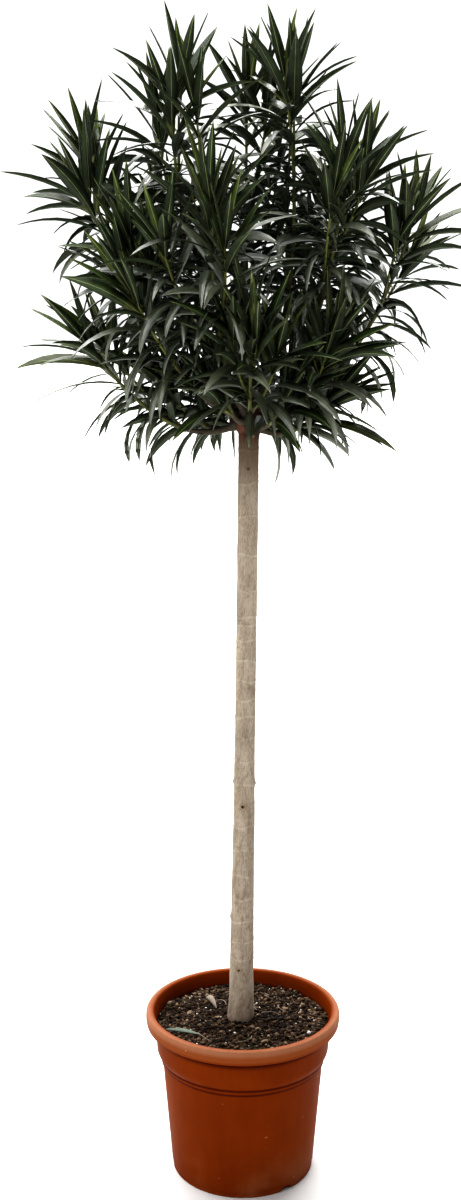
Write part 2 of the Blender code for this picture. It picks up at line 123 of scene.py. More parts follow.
def mesh_piece(name, points, faces, finishes, face_finish=None, marks=None):
    """Smooth-shaded object from an array of points and arrays of faces with one row of corners a face.

    face_finish gives each face the number of its finish, and marks are named values, one for each point."""
    mesh = bpy.data.meshes.new(name)
    mesh.vertices.add(len(points))
    mesh.vertices.foreach_set("co", points.astype(np.float32).ravel())
    sizes = np.concatenate([np.full(len(rows), rows.shape[1]) for rows in faces])
    mesh.loops.add(int(sizes.sum()))
    mesh.loops.foreach_set("vertex_index", np.concatenate([rows.ravel() for rows in faces]).astype(np.int32))
    mesh.polygons.add(len(sizes))
    mesh.polygons.foreach_set("loop_start", (np.cumsum(sizes) - sizes).astype(np.int32))
    mesh.polygons.foreach_set("use_smooth", np.ones(len(sizes), bool))
    for finish in finishes:
        mesh.materials.append(finish)
    if face_finish is not None:
        mesh.polygons.foreach_set("material_index", face_finish.astype(np.int32))
    for mark, values in (marks or {}).items():
        mesh.attributes.new(mark, "FLOAT", "POINT").data.foreach_set("value", values.astype(np.float32))
    mesh.update(calc_edges=True)
    piece = bpy.data.objects.new(name, mesh)
    bpy.context.scene.collection.objects.link(piece)
    return piece


def closed_faces(rows, columns):
    """Faces of a grid of points whose rows are rings, numbered row by row.

    Quads join neighbouring rings, and triangles close the first and the last ring on two poles, which are
    numbered straight after the grid."""
    row, column = np.meshgrid(np.arange(rows - 1), np.arange(columns), indexing="ij")
    start = (row * columns + column).ravel()
    beside = (row * columns + (column + 1) % columns).ravel()
    quads = np.stack([start, beside, beside + columns, start + columns], axis=1)
    here = np.arange(columns)
    onward = (here + 1) % columns
    last = (rows - 1) * columns
    pole = np.full(columns, rows * columns)
    opening = np.stack([pole, onward, here], axis=1)
    closing = np.stack([pole + 1, last + here, last + onward], axis=1)
    return [quads, np.concatenate([opening, closing])]


def rounded(corners, steps):
    """Outline with each corner rounded by a quadratic curve.

    The curve starts a fillet's length before the corner, has the corner as its control point and ends a
    fillet's length after it, or half way to the next corner if that is nearer."""
    place = np.array([corner[:2] for corner in corners])
    fillet = np.array([corner[2] for corner in corners])[1:-1, None]
    middle = place[1:-1]
    back = place[:-2] - middle
    onward = place[2:] - middle
    start = middle + back * np.minimum(fillet / np.linalg.norm(back, axis=1, keepdims=True), 0.5)
    end = middle + onward * np.minimum(fillet / np.linalg.norm(onward, axis=1, keepdims=True), 0.5)
    t = np.linspace(0, 1, steps)[None, :, None]
    curves = start[:, None] * (1 - t) ** 2 + middle[:, None] * 2 * t * (1 - t) + end[:, None] * t ** 2
    return np.concatenate([place[:1], curves.reshape(-1, 2), place[-1:]])


def divided(outline, longest):
    """The outline with points added so that no run is longer than the given length.

    A point that comes within a sixtieth of that length after another is dropped."""
    along = np.concatenate([[0], np.cumsum(np.linalg.norm(np.diff(outline, axis=0), axis=1))])
    stations = np.union1d(along, np.arange(0, along[-1], longest))
    stations = stations[np.concatenate([[True], np.diff(stations) > longest / 60])]
    return np.stack([np.interp(stations, along, outline[:, i]) for i in range(2)], axis=1)


def smooth_step(low, high, value):
    """Rises from 0 to 1 between low and high, level at both ends."""
    share = np.clip((value - low) / (high - low), 0, 1)
    return share * share * (3 - 2 * share)


def pot_surface():
    """Profile turned round the pot's axis, with its floor and foot lifted to a flat arch over each notch.

    The radius wavers by sines of two and five waves round, which grow with the height. It is first drawn in
    by the most that they can add."""
    profile = divided(rounded(POT_OUTSIDE + POT_INSIDE, POT_FILLET_STEPS), POT_LONGEST_RUN)
    is_inner = (np.arange(len(profile)) > profile[:, 1].argmax())[:, None]
    radius = profile[1:-1, :1]
    turn = np.linspace(0, math.tau, POT_COLUMNS, endpoint=False)[None]
    arch = np.zeros((len(radius), POT_COLUMNS))
    for bearing in DRAIN_BEARINGS:
        off = np.abs((turn - math.radians(bearing) + math.pi) % math.tau - math.pi) * radius
        arch = np.maximum(arch, 1 - smooth_step(DRAIN_HALF_WIDTH - DRAIN_EDGE, DRAIN_HALF_WIDTH, off))
    arch = arch * smooth_step(DRAIN_REACH - DRAIN_EDGE, DRAIN_REACH, radius)
    height = np.maximum(profile[1:-1, 1:], arch * (DRAIN_HEIGHT + np.where(is_inner[1:-1], POT_WALL, 0)))
    share = height / POT_HEIGHT
    drawn = WOBBLE * (np.sin(2 * turn + 0.8) * share + 0.5 * np.sin(5 * turn + 2 + share) * share)
    radius = radius - WOBBLE * 1.5 + drawn
    points = np.stack([radius * np.cos(turn), radius * np.sin(turn), height], axis=2).reshape(-1, 3)
    poles = np.array([[0, 0, profile[0, 1]], [0, 0, profile[-1, 1]]])
    return np.concatenate([points, poles]), closed_faces(len(radius), POT_COLUMNS)


class Shade:
    """A socket in a material's nodes. Arithmetic on it adds Math nodes, and node() adds any other node.

    A colour is a socket, or three numbers."""

    def __init__(self, tree, socket=None):
        self.tree = tree
        self.socket = socket

    def node(self, kind, settings, inputs, output=0):
        """Output of a new node, whose settings are made before its sockets get their values or links."""
        made = self.tree.nodes.new(kind)
        for setting, value in settings.items():
            setattr(made, setting, value)
        for name, value in inputs.items():
            if isinstance(value, Shade):
                self.tree.links.new(value.socket, made.inputs[name])
            else:
                made.inputs[name].default_value = value
        return Shade(self.tree, made.outputs[output])

    def math(self, operation, first, second=0.0):
        """Result of one operation on sockets or numbers."""
        return self.node("ShaderNodeMath", {"operation": operation}, {0: first, 1: second})

    def __add__(self, other):
        return self.math("ADD", self, other)

    def __radd__(self, other):
        return self.math("ADD", other, self)

    def __sub__(self, other):
        return self.math("SUBTRACT", self, other)

    def __rsub__(self, other):
        return self.math("SUBTRACT", other, self)

    def __mul__(self, other):
        return self.math("MULTIPLY", self, other)

    def __rmul__(self, other):
        return self.math("MULTIPLY", other, self)

    def between(self, low, high):
        """0 below low, 1 above high, and a smooth rise between them, or a fall where high is the lower."""
        settings = {"interpolation_type": "SMOOTHSTEP", "clamp": True}
        return self.node("ShaderNodeMapRange", settings, {"Value": self, "From Min": low, "From Max": high})

    def close_to(self, level, width):
        """1 at a level, falling smoothly to 0 a width above and below it."""
        return self.math("ABSOLUTE", self - level).between(width, 0.0)

    def stretched(self, x, y, z):
        """The place multiplied on each axis."""
        return self.node("ShaderNodeVectorMath", {"operation": "MULTIPLY"}, {0: self, 1: (x, y, z)})

    def noise(self, scale, detail=3.0, roughness=0.55):
        """Noise from 0 to 1 at this place, with so many features to the metre."""
        return self.node("ShaderNodeTexNoise", {}, {"Vector": self, "Scale": scale, "Detail": detail,
                                                    "Roughness": roughness})

    def height(self):
        """Height of this place."""
        return self.node("ShaderNodeSeparateXYZ", {}, {0: self}, "Z")

    def from_axis(self):
        """Distance of this place from the upright axis through the origin."""
        level = self.stretched(1, 1, 0)
        return level.node("ShaderNodeVectorMath", {"operation": "LENGTH"}, {0: level}, "Value")

    def mark(self, name):
        """A mesh's own named value."""
        return self.node("ShaderNodeAttribute", {"attribute_name": name}, {}, "Fac")

    def blend(self, below, above):
        """Colour that goes from below, where this is 0, to above, where it is 1."""
        below, above = (end if isinstance(end, Shade) else (*end, 1) for end in (below, above))
        return self.node("ShaderNodeMix", {"data_type": "RGBA"}, {0: self, 6: below, 7: above}, 2)

    def relief(self, depth, strength=1.0):
        """Normal of a surface that rises by this value times depth, in metres."""
        return self.node("ShaderNodeBump", {}, {"Strength": strength, "Distance": depth, "Height": self},
                         "Normal")


def start_finish(name, **fixed):
    """New Principled material with fixed sockets set: the material, its shader and the place on a piece."""
    finish = bpy.data.materials.new(name)
    finish.use_nodes = True
    shader = finish.node_tree.nodes["Principled BSDF"]
    for socket, value in fixed.items():
        shader.inputs[socket.replace("_", " ")].default_value = value
    place = Shade(finish.node_tree).node("ShaderNodeTexCoord", {}, {}, "Object")
    return finish, shader, place


def feed(shader, **sockets):
    """Links to a shader's sockets."""
    for socket, shade in sockets.items():
        shade.tree.links.new(shade.socket, shader.inputs[socket.replace("_", " ")])


def terracotta_plastic():
    """Orange-brown plastic: paler on the lip, with a painted highlight along its top, painted shade in the
    creases and under the lip, dusty and scuffed low down.
    """
    finish, shader, place = start_finish("terracotta plastic", Specular_IOR_Level=0.03)
    height = place.height()
    outward = place.from_axis()
    cloud = place.noise(7, 4)
    streak = place.stretched(1, 1, 0.12).noise(60, 3)
    fine = place.noise(240, 2)
    tone = (cloud * 0.7 + streak * 0.3).between(0.3, 0.72)
    colour = tone.blend((0.149, 0.0270, 0.0007), (0.186, 0.0356, 0.0012))
    lip = outward.between(LIP_RADIUS - 0.016, LIP_RADIUS)
    bead = height.between(LIP_FOOT, LIP_FOOT + 0.009) * lip
    # painted highlight: a pale streaked band along the top of the rolled lip, where light catches it
    shoulder = height.between(POT_HEIGHT - 0.015, POT_HEIGHT - 0.004) * lip
    colour = (bead * 0.8).blend(colour, (0.235, 0.075, 0.024))
    colour = (shoulder * (0.55 + streak * 0.5)).blend(colour, (0.30, 0.150, 0.090))
    # painted shade: two dark lines in the creases of the step
    crease_shade = sum(height.close_to(level, CREASE_SHADE_WIDTH) for level in POT_CREASES)
    # painted shadow of the rolled lip on the band just under it
    inside_lip = outward.between(LIP_FOOT_RADIUS, LIP_FOOT_RADIUS - 0.003)
    under_lip_shadow = height.close_to(LIP_FOOT - 0.006, 0.012) * inside_lip
    colour = (crease_shade * 0.85 + under_lip_shadow * 0.9).blend(colour, (0.040, 0.0020, 0.0005))
    dust = height.between(0.10, 0.0) * cloud.between(0.45, 0.75) * 0.30
    colour = dust.blend(colour, (0.30, 0.19, 0.12))
    scuff = place.noise(95, 1).between(0.76, 0.80) * streak.between(0.4, 0.6) * 0.4
    colour = scuff.blend(colour, (0.55, 0.33, 0.22))
    rings = place.stretched(2, 2, 60).noise(18, 2)
    feed(
        shader,
        Base_Color=colour,
        Roughness=0.46 + cloud * 0.16 - streak * 0.08,
        Normal=(rings * 0.6 + fine * 0.4).relief(0.0004, 0.5),
    )
    return finish


points, faces = pot_surface()
pot = mesh_piece("flower_pot", points, faces, [terracotta_plastic()])
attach(pot, "root")
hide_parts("pot")


# ---- Soil ----
# Peat-based potting mix, dark and crumbly, with white grains of perlite and a patch of moss. It fills the
# pot to a finger below the lip and is heaped a little round the trunk.

SOIL_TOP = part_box("soil")[1].z
SOIL_COLUMNS = 400
SOIL_ROWS = 150
SOIL_EDGE_GAP = 0.0004        # between the soil and the pot's wall, at the top and below it
SOIL_SIDE_GAP = 0.0006
SOIL_PROFILE = ((0, 0.045, 0.11, 0.154), (SOIL_TOP, SOIL_TOP, SOIL_TOP - 0.004, SOIL_TOP - 0.008))
SOIL_LUMPS = ((7, 0.0030), (19, 0.0026), (48, 0.0016), (120, 0.0009))  # cells across the pot, height
LUMP_PATCH = 0.32             # side of the square that the cells divide
LUMP_SEED = 40
MOSS_PLACE = (0.022, -0.085)
CRUMB_COUNT = 7600
CRUMB_SEED = 51
CRUMB_FACES = 20              # of an icosahedron
CRUMB_SIZES = (0.0009, 0.0050)
PERLITE_COUNT = 190
PERLITE_SEED = 52
PERLITE_SIZES = (0.0009, 0.0026)
CRUMB_REACH = 0.1525          # from the pot's axis
CRUMB_FREE = 0.02             # share of the soil's area that is left free in the middle, where the trunk is
CRUMB_DENTS = (0.72, 1.2)
CRUMB_STRETCH = (0.7, 1.35)
CRUMB_FLATNESS = (0.6, 1.2)
CRUMB_TILT = 0.7              # radians
CRUMB_RARITY = 3.5
CRUMB_LIFT = 0.25             # of its size, from the soil to its middle
CRUMB_COLOURS = (
    (0.012, 0.008, 0.006),
    (0.030, 0.018, 0.011),
    (0.070, 0.042, 0.024),
    (0.150, 0.100, 0.062),
    (0.260, 0.190, 0.130),
)
CRUMB_SHARES = (0.34, 0.31, 0.20, 0.11, 0.04)
DRY_FROM = (0.06, 0.10)       # where crumbs start to be a shade paler, and how much farther out all are


def value_noise(across, along, cells, seed):
    """Smooth noise from -1 to 1 over a square that repeats in both directions.

    Random heights stand on a lattice of so many cells (across, along), and a point's value is blended from
    the four corners of its cell by smooth steps."""
    corner = np.random.default_rng(seed).uniform(-1, 1, cells)
    x = across * cells[0]
    y = along * cells[1]
    left = np.floor(x).astype(int)
    near = np.floor(y).astype(int)
    part_x = smooth_step(0, 1, x - left)
    part_y = smooth_step(0, 1, y - near)
    low, high = (
        corner[left % cells[0], row % cells[1]] * (1 - part_x)
        + corner[(left + 1) % cells[0], row % cells[1]] * part_x
        for row in (near, near + 1)
    )
    return low * (1 - part_y) + high * part_y


def soil_height(x, y):
    """Height of the soil: its profile across the pot plus four sizes of lumps, the biggest the highest."""
    height = np.interp(np.hypot(x, y), *SOIL_PROFILE)
    across, along = x / LUMP_PATCH + 0.5, y / LUMP_PATCH + 0.5
    for number, (cells, rise) in enumerate(SOIL_LUMPS):
        height = height + rise * value_noise(across, along, (cells, cells), LUMP_SEED + number)
    return height


def soil_surface():
    """Rings from the middle out to the wall, then down the wall and closed under the soil."""
    rim = np.interp(SOIL_PROFILE[1][-1], (BAND_FOOT, BAND_TOP), (BAND_RADIUS, BAND_TOP_RADIUS))
    rim = rim - POT_WALL - SOIL_EDGE_GAP
    turn = np.linspace(0, math.tau, SOIL_COLUMNS, endpoint=False)[None]
    radius = np.linspace(0, 1, SOIL_ROWS + 1)[1:, None] * rim
    x = radius * np.cos(turn)
    y = radius * np.sin(turn)
    top = np.stack([x, y, soil_height(x, y)], axis=2)
    wall = ((BAND_RADIUS, BAND_FOOT), (BODY_TOP_RADIUS, BODY_TOP), (BODY_FOOT_RADIUS, BODY_FOOT))
    side = []
    for outer, height in wall:
        inner = outer - POT_WALL - SOIL_SIDE_GAP
        level = np.full_like(turn, height)
        side.append(np.stack([inner * np.cos(turn), inner * np.sin(turn), level], axis=2))
    grid = np.concatenate([top, *side])[::-1]
    poles = np.array([[0, 0, BODY_FOOT], [0, 0, soil_height(0.0, 0.0)]])
    return np.concatenate([grid.reshape(-1, 3), poles]), closed_faces(len(grid), SOIL_COLUMNS)


def repeated(faces, count, point_count):
    """One body's faces for each of several like bodies, whose points are numbered body by body."""
    start = point_count * np.arange(count)[:, None, None]
    return (faces[None] + start).reshape(-1, faces.shape[1])


def crumbs(count, sizes, seed, flat=0.7):
    """Lumps strewn over the soil: each is a 20-faced ball, stretched, dented and turned by its own draw.

    Sizes follow a power of an even draw, so that small ones are common and large ones rare."""
    ball = bmesh.new()
    bmesh.ops.create_icosphere(ball, subdivisions=1, radius=1)
    shape = np.array([vert.co for vert in ball.verts])
    corners = np.array([[vert.index for vert in face.verts] for face in ball.faces])
    ball.free()
    draw = np.random.default_rng(seed)
    turn = draw.uniform(0, math.tau, count)
    radius = CRUMB_REACH * np.sqrt(draw.uniform(CRUMB_FREE, 1, count))
    x = radius * np.cos(turn)
    y = radius * np.sin(turn)
    size = sizes[0] + (sizes[1] - sizes[0]) * draw.uniform(0, 1, count) ** CRUMB_RARITY
    lump = shape[None] * draw.uniform(*CRUMB_DENTS, (count, len(shape), 1))
    least, most = ((across, across, flat * high) for across, high in zip(CRUMB_STRETCH, CRUMB_FLATNESS))
    lump = lump * draw.uniform(least, most, (count, 3))[:, None]
    spin = draw.uniform(0, math.tau, count)
    tilt = draw.uniform(-CRUMB_TILT, CRUMB_TILT, count)
    lump = lump @ turn_matrices(spin, tilt) * size[:, None, None]
    middle = np.stack([x, y, soil_height(x, y) + size * CRUMB_LIFT], axis=1)
    points = (lump + middle[:, None]).reshape(-1, 3)
    return points, repeated(corners, count, len(shape)), draw


def turn_matrices(spin, tilt):
    """Matrices that tilt about X and then spin about Z, one for each angle pair, for points in rows."""
    zero, one = np.zeros_like(spin), np.ones_like(spin)
    east, north = np.cos(spin), np.sin(spin)
    level, rise = np.cos(tilt), np.sin(tilt)
    about_z = np.array([[east, north, zero], [-north, east, zero], [zero, zero, one]])
    about_x = np.array([[one, zero, zero], [zero, level, rise], [zero, -rise, level]])
    return np.einsum("ijn,jkn->nik", about_x, about_z)


def potting_mix():
    """Dark brown peat, lighter where it has dried on the lumps, greened by moss in front of the trunk."""
    finish, shader, place = start_finish("potting mix", Specular_IOR_Level=0.1, Roughness=0.95)
    coarse = place.noise(28, 4, 0.65)
    grain = place.noise(210, 4, 0.7)
    tone = (coarse * 0.55 + grain * 0.45).between(0.36, 0.66)
    colour = tone.blend((0.009, 0.006, 0.0045), (0.105, 0.066, 0.040))
    pale = grain.between(0.60, 0.72) * coarse.between(0.45, 0.6)
    colour = pale.blend(colour, (0.24, 0.175, 0.12))
    from_moss = place.node("ShaderNodeVectorMath", {"operation": "DISTANCE"},
                           {0: place, 1: (*MOSS_PLACE, SOIL_TOP)}, "Value")
    moss = from_moss.between(0.042, 0.012) * place.noise(90, 3).between(0.42, 0.62)
    colour = (moss * 0.75).blend(colour, (0.030, 0.048, 0.014))
    feed(shader, Base_Color=colour, Normal=(coarse * 0.3 + grain * 0.7).relief(0.0025))
    return finish


def tinted(colour, share):
    """The colour, darker for a share below 1 and lighter above it."""
    return tuple(part * share for part in colour)


def crumb_finish(name, colour, roughness=0.95):
    """Dull finish of one colour with a fine mottle, for crumbs, dead leaves and a pebble."""
    finish, shader, place = start_finish(name, Specular_IOR_Level=0.15)
    grain = place.noise(420, 3, 0.7)
    feed(
        shader,
        Base_Color=grain.between(0.3, 0.7).blend(tinted(colour, 0.55), colour),
        Roughness=roughness - grain * 0.1,
        Normal=grain.relief(0.0008),
    )
    return finish


points, faces = soil_surface()
soil = mesh_piece("potting_soil", points, faces, [potting_mix()])
points, faces, draw = crumbs(CRUMB_COUNT, CRUMB_SIZES, CRUMB_SEED)
middles = points.reshape(CRUMB_COUNT, -1, 3).mean(axis=1)
is_dry = draw.uniform(0, DRY_FROM[1], CRUMB_COUNT) < np.hypot(middles[:, 0], middles[:, 1]) - DRY_FROM[0]
kinds = draw.choice(len(CRUMB_COLOURS), CRUMB_COUNT, p=CRUMB_SHARES)
kinds = np.minimum(kinds + is_dry, len(CRUMB_COLOURS) - 1)
crumb_finishes = [crumb_finish("soil crumb %d" % i, colour) for i, colour in enumerate(CRUMB_COLOURS)]
soil_crumbs = mesh_piece("soil_crumbs", points, [faces], crumb_finishes, np.repeat(kinds, CRUMB_FACES))
points, faces, _ = crumbs(PERLITE_COUNT, PERLITE_SIZES, PERLITE_SEED, flat=0.95)
perlite = mesh_piece("perlite_grains", points, [faces], [crumb_finish("perlite", (0.80, 0.78, 0.74), 0.8)])
for piece in (soil, soil_crumbs, perlite):
    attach(piece, "root")
    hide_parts("soil")


# ---- Trunk ----
# One straight stem kept bare by rubbing off its shoots, in pale grey-beige bark. Old leaf whorls left thin
# raised rings and pruned shoots left knots; at the top it swells to a red-brown knuckle, where it was cut
# back to make the head branch.

TRUNK_COLUMNS = 80
TRUNK_ROWS = 880
HEAD_ROWS = 54
TRUNK_SINK = 0.010
TRUNK_FOOT = Vector((-0.0035, 0, SOIL_TOP + 0.0003))
TRUNK_KNEE = Vector((0.004, 0, 0.81))
HEAD = Vector((0.009, 0, 1.355))
HEAD_RADIUS = 0.028
HEAD_HOLE = 0.0006            # radius of the last ring, which a pole closes
KNUCKLE_FOOT = HEAD.z - HEAD_RADIUS
KNUCKLE_BARK = (KNUCKLE_FOOT - 0.022, KNUCKLE_FOOT + 0.008)  # heights where its rough bark starts and is full
NECK = (-0.012, 0.006)        # from the knuckle's middle: where the stem starts and ends its fade into it
NECK_POWER = 8
CROWN_SHADOW_FROM = 1.19              # height where painted shadow of the crown starts to darken the bark towards the knuckle
TRUNK_RADIUS = 0.0175
TAPER_RADIUS = 0.0044
TAPER_HEIGHT = 0.34
FLARE_RADIUS = 0.0024
FLARE_HEIGHT = 0.03
CLEFT_DEPTH = 0.00042
GRAIN_RISE = 0.00013
LUMP_RISE = 0.00055
BARK_PATCH = 1.1              # height of the sheet of noise that is wrapped round the stem
BARK_SEED = 60
BARK_DRIFT = 0.03             # share of the sheet by which its clefts and grain wander
DRIFT_CELLS = (5, 22)         # cells of noise round the stem and up the sheet, here and in the next lines
CLEFT_CELLS = (26, 60)
GRAIN_CELLS = (64, 330)
LUMP_CELLS = (4, 26)
KNUCKLE_CELLS = ((11, 140), (23, 300))
CLEFT_SHARPNESS = 5
SCAR_HEIGHTS = (
    1.305, 1.247, 1.190, 1.124, 1.064, 1.019, 1.003, 0.975, 0.940, 0.906, 0.873, 0.841,
    0.803, 0.761, 0.721, 0.681, 0.642, 0.598, 0.552, 0.511, 0.468, 0.428, 0.395,
)
SCAR_RISE = 0.0006
SCAR_WIDTH = 0.0014
SCAR_WAVE = 0.0014            # how far a scar's ring dips three times round
SCAR_TILT = 0.0022            # and how far it hangs to one side
SCAR_DIP_TURN = 2.1           # radians that the dips and the low side turn on from one scar to the next
SCAR_TILT_TURN = 1.3
DIMPLE_NARROWNESS = 7         # of a knot's dimple against its bump, squared
EYE_NARROWNESS = 3.4
STAIN_BREADTH = 3.2
EYE_GAIN = 500                # darkness of an eye for each metre of depth: 2 mm makes it fully dark
KNUCKLE_ROUGHNESS = 0.0010
KNOTS = (  # height, bearing, radius, how far it stands out, depth of its eye
    (1.272, 268, 0.0045, 0.0012, 0.0030),
    (1.188, 292, 0.0050, 0.0012, 0),
    (1.003, 250, 0.0040, 0.0008, 0),
    (0.873, 300, 0.0040, 0.0009, 0),
    (0.803, 268, 0.0050, 0.0016, 0.0006),
    (0.722, 182, 0.0050, 0.0024, 0),
    (0.720, 358, 0.0050, 0.0022, 0),
    (0.681, 262, 0.0060, 0.0016, 0.0022),
    (0.562, 276, 0.0060, 0.0007, 0.0004),
    (0.474, 188, 0.0045, 0.0026, 0),
    (0.378, 256, 0.0045, 0.0014, 0.0026),
    (0.330, 318, 0.0060, 0.0006, 0.0010),
    (1.105, 95, 0.0050, 0.0014, 0.0018),
    (0.902, 70, 0.0050, 0.0014, 0.0018),
    (0.640, 110, 0.0060, 0.0016, 0.0020),
    (0.450, 60, 0.0050, 0.0014, 0.0018),
)
STUBS = (  # bearing and rise of a pruned stub on the knuckle, its width in degrees, how far it stands out
    (184, -14, 15, 0.0052),
    (350, -12, 15, 0.0050),
    (236, -30, 12, 0.0030),
    (300, -26, 12, 0.0034),
    (270, 2, 13, 0.0032),
    (100, -18, 15, 0.0044),
    (40, -8, 13, 0.0036),
    (140, 6, 13, 0.0036),
)


def toward(bearing, rise):
    """Unit vector at a bearing (0 is +X, 90 is +Y) and a rise above level, in degrees."""
    level = math.cos(math.radians(rise))
    east = math.cos(math.radians(bearing)) * level
    north = math.sin(math.radians(bearing)) * level
    return Vector((east, north, math.sin(math.radians(rise))))


def point_on(path, share):
    """Point at a share of a curve that leaves foot towards knee and comes to tip from knee."""
    foot, knee, tip = path
    return foot * (1 - share) ** 2 + knee * (2 * share * (1 - share)) + tip * share ** 2


def trunk_radius(height):
    """Radius at a height above the soil: an even stem, a taper that fades as a bell curve and a root flare
    that fades exponentially."""
    taper = TAPER_RADIUS * np.exp(-(height / TAPER_HEIGHT) ** 2)
    flare = FLARE_RADIUS * np.exp(-height / FLARE_HEIGHT)
    return TRUNK_RADIUS + taper + flare


def trunk_middle(height):
    """How far in X the trunk's curved axis stands from the pot's axis at a height."""
    shares = np.linspace(0, 1, 60)
    spots = np.array([point_on((TRUNK_FOOT, TRUNK_KNEE, HEAD), share) for share in shares])
    return np.interp(height, spots[:, 2], spots[:, 0])


def scar_rings(height, turn):
    """How much of a scar is at each point: a bell curve round each scar's height, which dips three times
    round and hangs to one side."""
    scar = np.zeros_like(height + turn)
    for number, scar_height in enumerate(SCAR_HEIGHTS):
        dip = SCAR_WAVE * np.cos(3 * turn + number * SCAR_DIP_TURN)
        dip = dip + SCAR_TILT * np.sin(turn + number * SCAR_TILT_TURN)
        scar += np.exp(-((height - scar_height - dip) / SCAR_WIDTH) ** 2)
    return scar


def with_knots(relief, height, turn, radius):
    """The relief with a bell-shaped bump less a narrower dimple for each knot, and its stain and eye."""
    stain = np.zeros_like(relief)
    eye = np.zeros_like(relief)
    for knot_height, bearing, size, out, depth in KNOTS:
        off = (turn - math.radians(bearing) + math.pi) % math.tau - math.pi
        away = ((height - knot_height) / size) ** 2 + (off * radius / size) ** 2
        relief = relief + out * np.exp(-away) - depth * np.exp(-away * DIMPLE_NARROWNESS)
        stain += np.exp(-away / STAIN_BREADTH) * min(depth * EYE_GAIN, 1)
        eye += np.exp(-away * EYE_NARROWNESS) * min(depth * EYE_GAIN, 1)
    return relief, stain, eye


def with_stubs(relief, height, turn, up, knuckle):
    """The relief with the knuckle's rough bark and a bell-shaped bump for each stub, by the angle from it."""
    rise = (height - HEAD.z) / HEAD_RADIUS
    level = np.sqrt(np.maximum(1 - rise ** 2, 0))
    facing = np.stack([level * np.cos(turn), level * np.sin(turn), np.clip(rise, -1, 1) + 0 * turn], axis=2)
    rough = sum(value_noise(turn / math.tau, up, cells, BARK_SEED + 4 + number)
                for number, cells in enumerate(KNUCKLE_CELLS))
    relief = relief + knuckle * KNUCKLE_ROUGHNESS * rough * level
    for bearing, stub_rise, width, out in STUBS:
        cosine = np.clip(facing @ np.array(toward(bearing, stub_rise)), -1, 1)
        relief = relief + knuckle * level * out * np.exp(-(np.degrees(np.arccos(cosine)) / width) ** 2)
    return relief


def trunk_surface():
    """Rings up the stem and over the knuckle, moved in and out by the bark's relief.

    The stem's radius and the knuckle's ball are blended by their eighth powers. The relief is ridged noise
    stretched up the stem, finer and coarser noise, knots, stubs, and a low ridge for each scar."""
    top = math.sqrt(HEAD_RADIUS ** 2 - HEAD_HOLE ** 2)
    rise = np.linspace(-1, 1, HEAD_ROWS)
    heights = np.linspace(TRUNK_FOOT.z - TRUNK_SINK, KNUCKLE_FOOT, TRUNK_ROWS)
    over = HEAD.z + top * np.sin(rise * math.pi / 2)
    height = np.concatenate([heights, over[1:]])[:, None]
    turn = np.linspace(0, math.tau, TRUNK_COLUMNS, endpoint=False)[None]
    stem = trunk_radius(np.maximum(height - TRUNK_FOOT.z, 0))
    stem = stem * (1 - smooth_step(*NECK, height - HEAD.z))
    ball = np.sqrt(np.maximum(HEAD_RADIUS ** 2 - (height - HEAD.z) ** 2, 0))
    radius = (stem ** NECK_POWER + ball ** NECK_POWER) ** (1 / NECK_POWER)
    around = turn / math.tau
    up = (height - TRUNK_FOOT.z) / BARK_PATCH
    drift = BARK_DRIFT * value_noise(around, up, DRIFT_CELLS, BARK_SEED)
    cleft = 1 - np.abs(value_noise(around + drift, up + drift, CLEFT_CELLS, BARK_SEED + 1))
    fine = value_noise(around + drift, up, GRAIN_CELLS, BARK_SEED + 2)
    lump = value_noise(around, up, LUMP_CELLS, BARK_SEED + 3)
    relief = -CLEFT_DEPTH * cleft ** CLEFT_SHARPNESS + GRAIN_RISE * fine + LUMP_RISE * lump
    relief, stain, eye = with_knots(relief, height, turn, radius)
    knuckle = smooth_step(*KNUCKLE_BARK, height) + 0 * turn
    relief = with_stubs(relief, height, turn, up, knuckle)
    scar = scar_rings(height, turn)
    radius = radius + relief * smooth_step(0, 0.004, radius) + SCAR_RISE * scar * (1 - knuckle)
    x = trunk_middle(height) + radius * np.cos(turn)
    points = np.stack([x, radius * np.sin(turn), height + 0 * turn], axis=2).reshape(-1, 3)
    ends = np.array([[TRUNK_FOOT.x, 0, height[0, 0] - 0.001], [HEAD.x, 0, height[-1, 0] + 0.0004]])
    marks = {"scar": scar * (1 - knuckle), "stain": stain, "eye": eye, "knuckle": knuckle, "cleft": cleft}
    marks = {name: np.concatenate([values.ravel(), values[0, :1], values[-1, :1]])
             for name, values in marks.items()}
    return np.concatenate([points, ends]), closed_faces(len(height), TRUNK_COLUMNS), marks


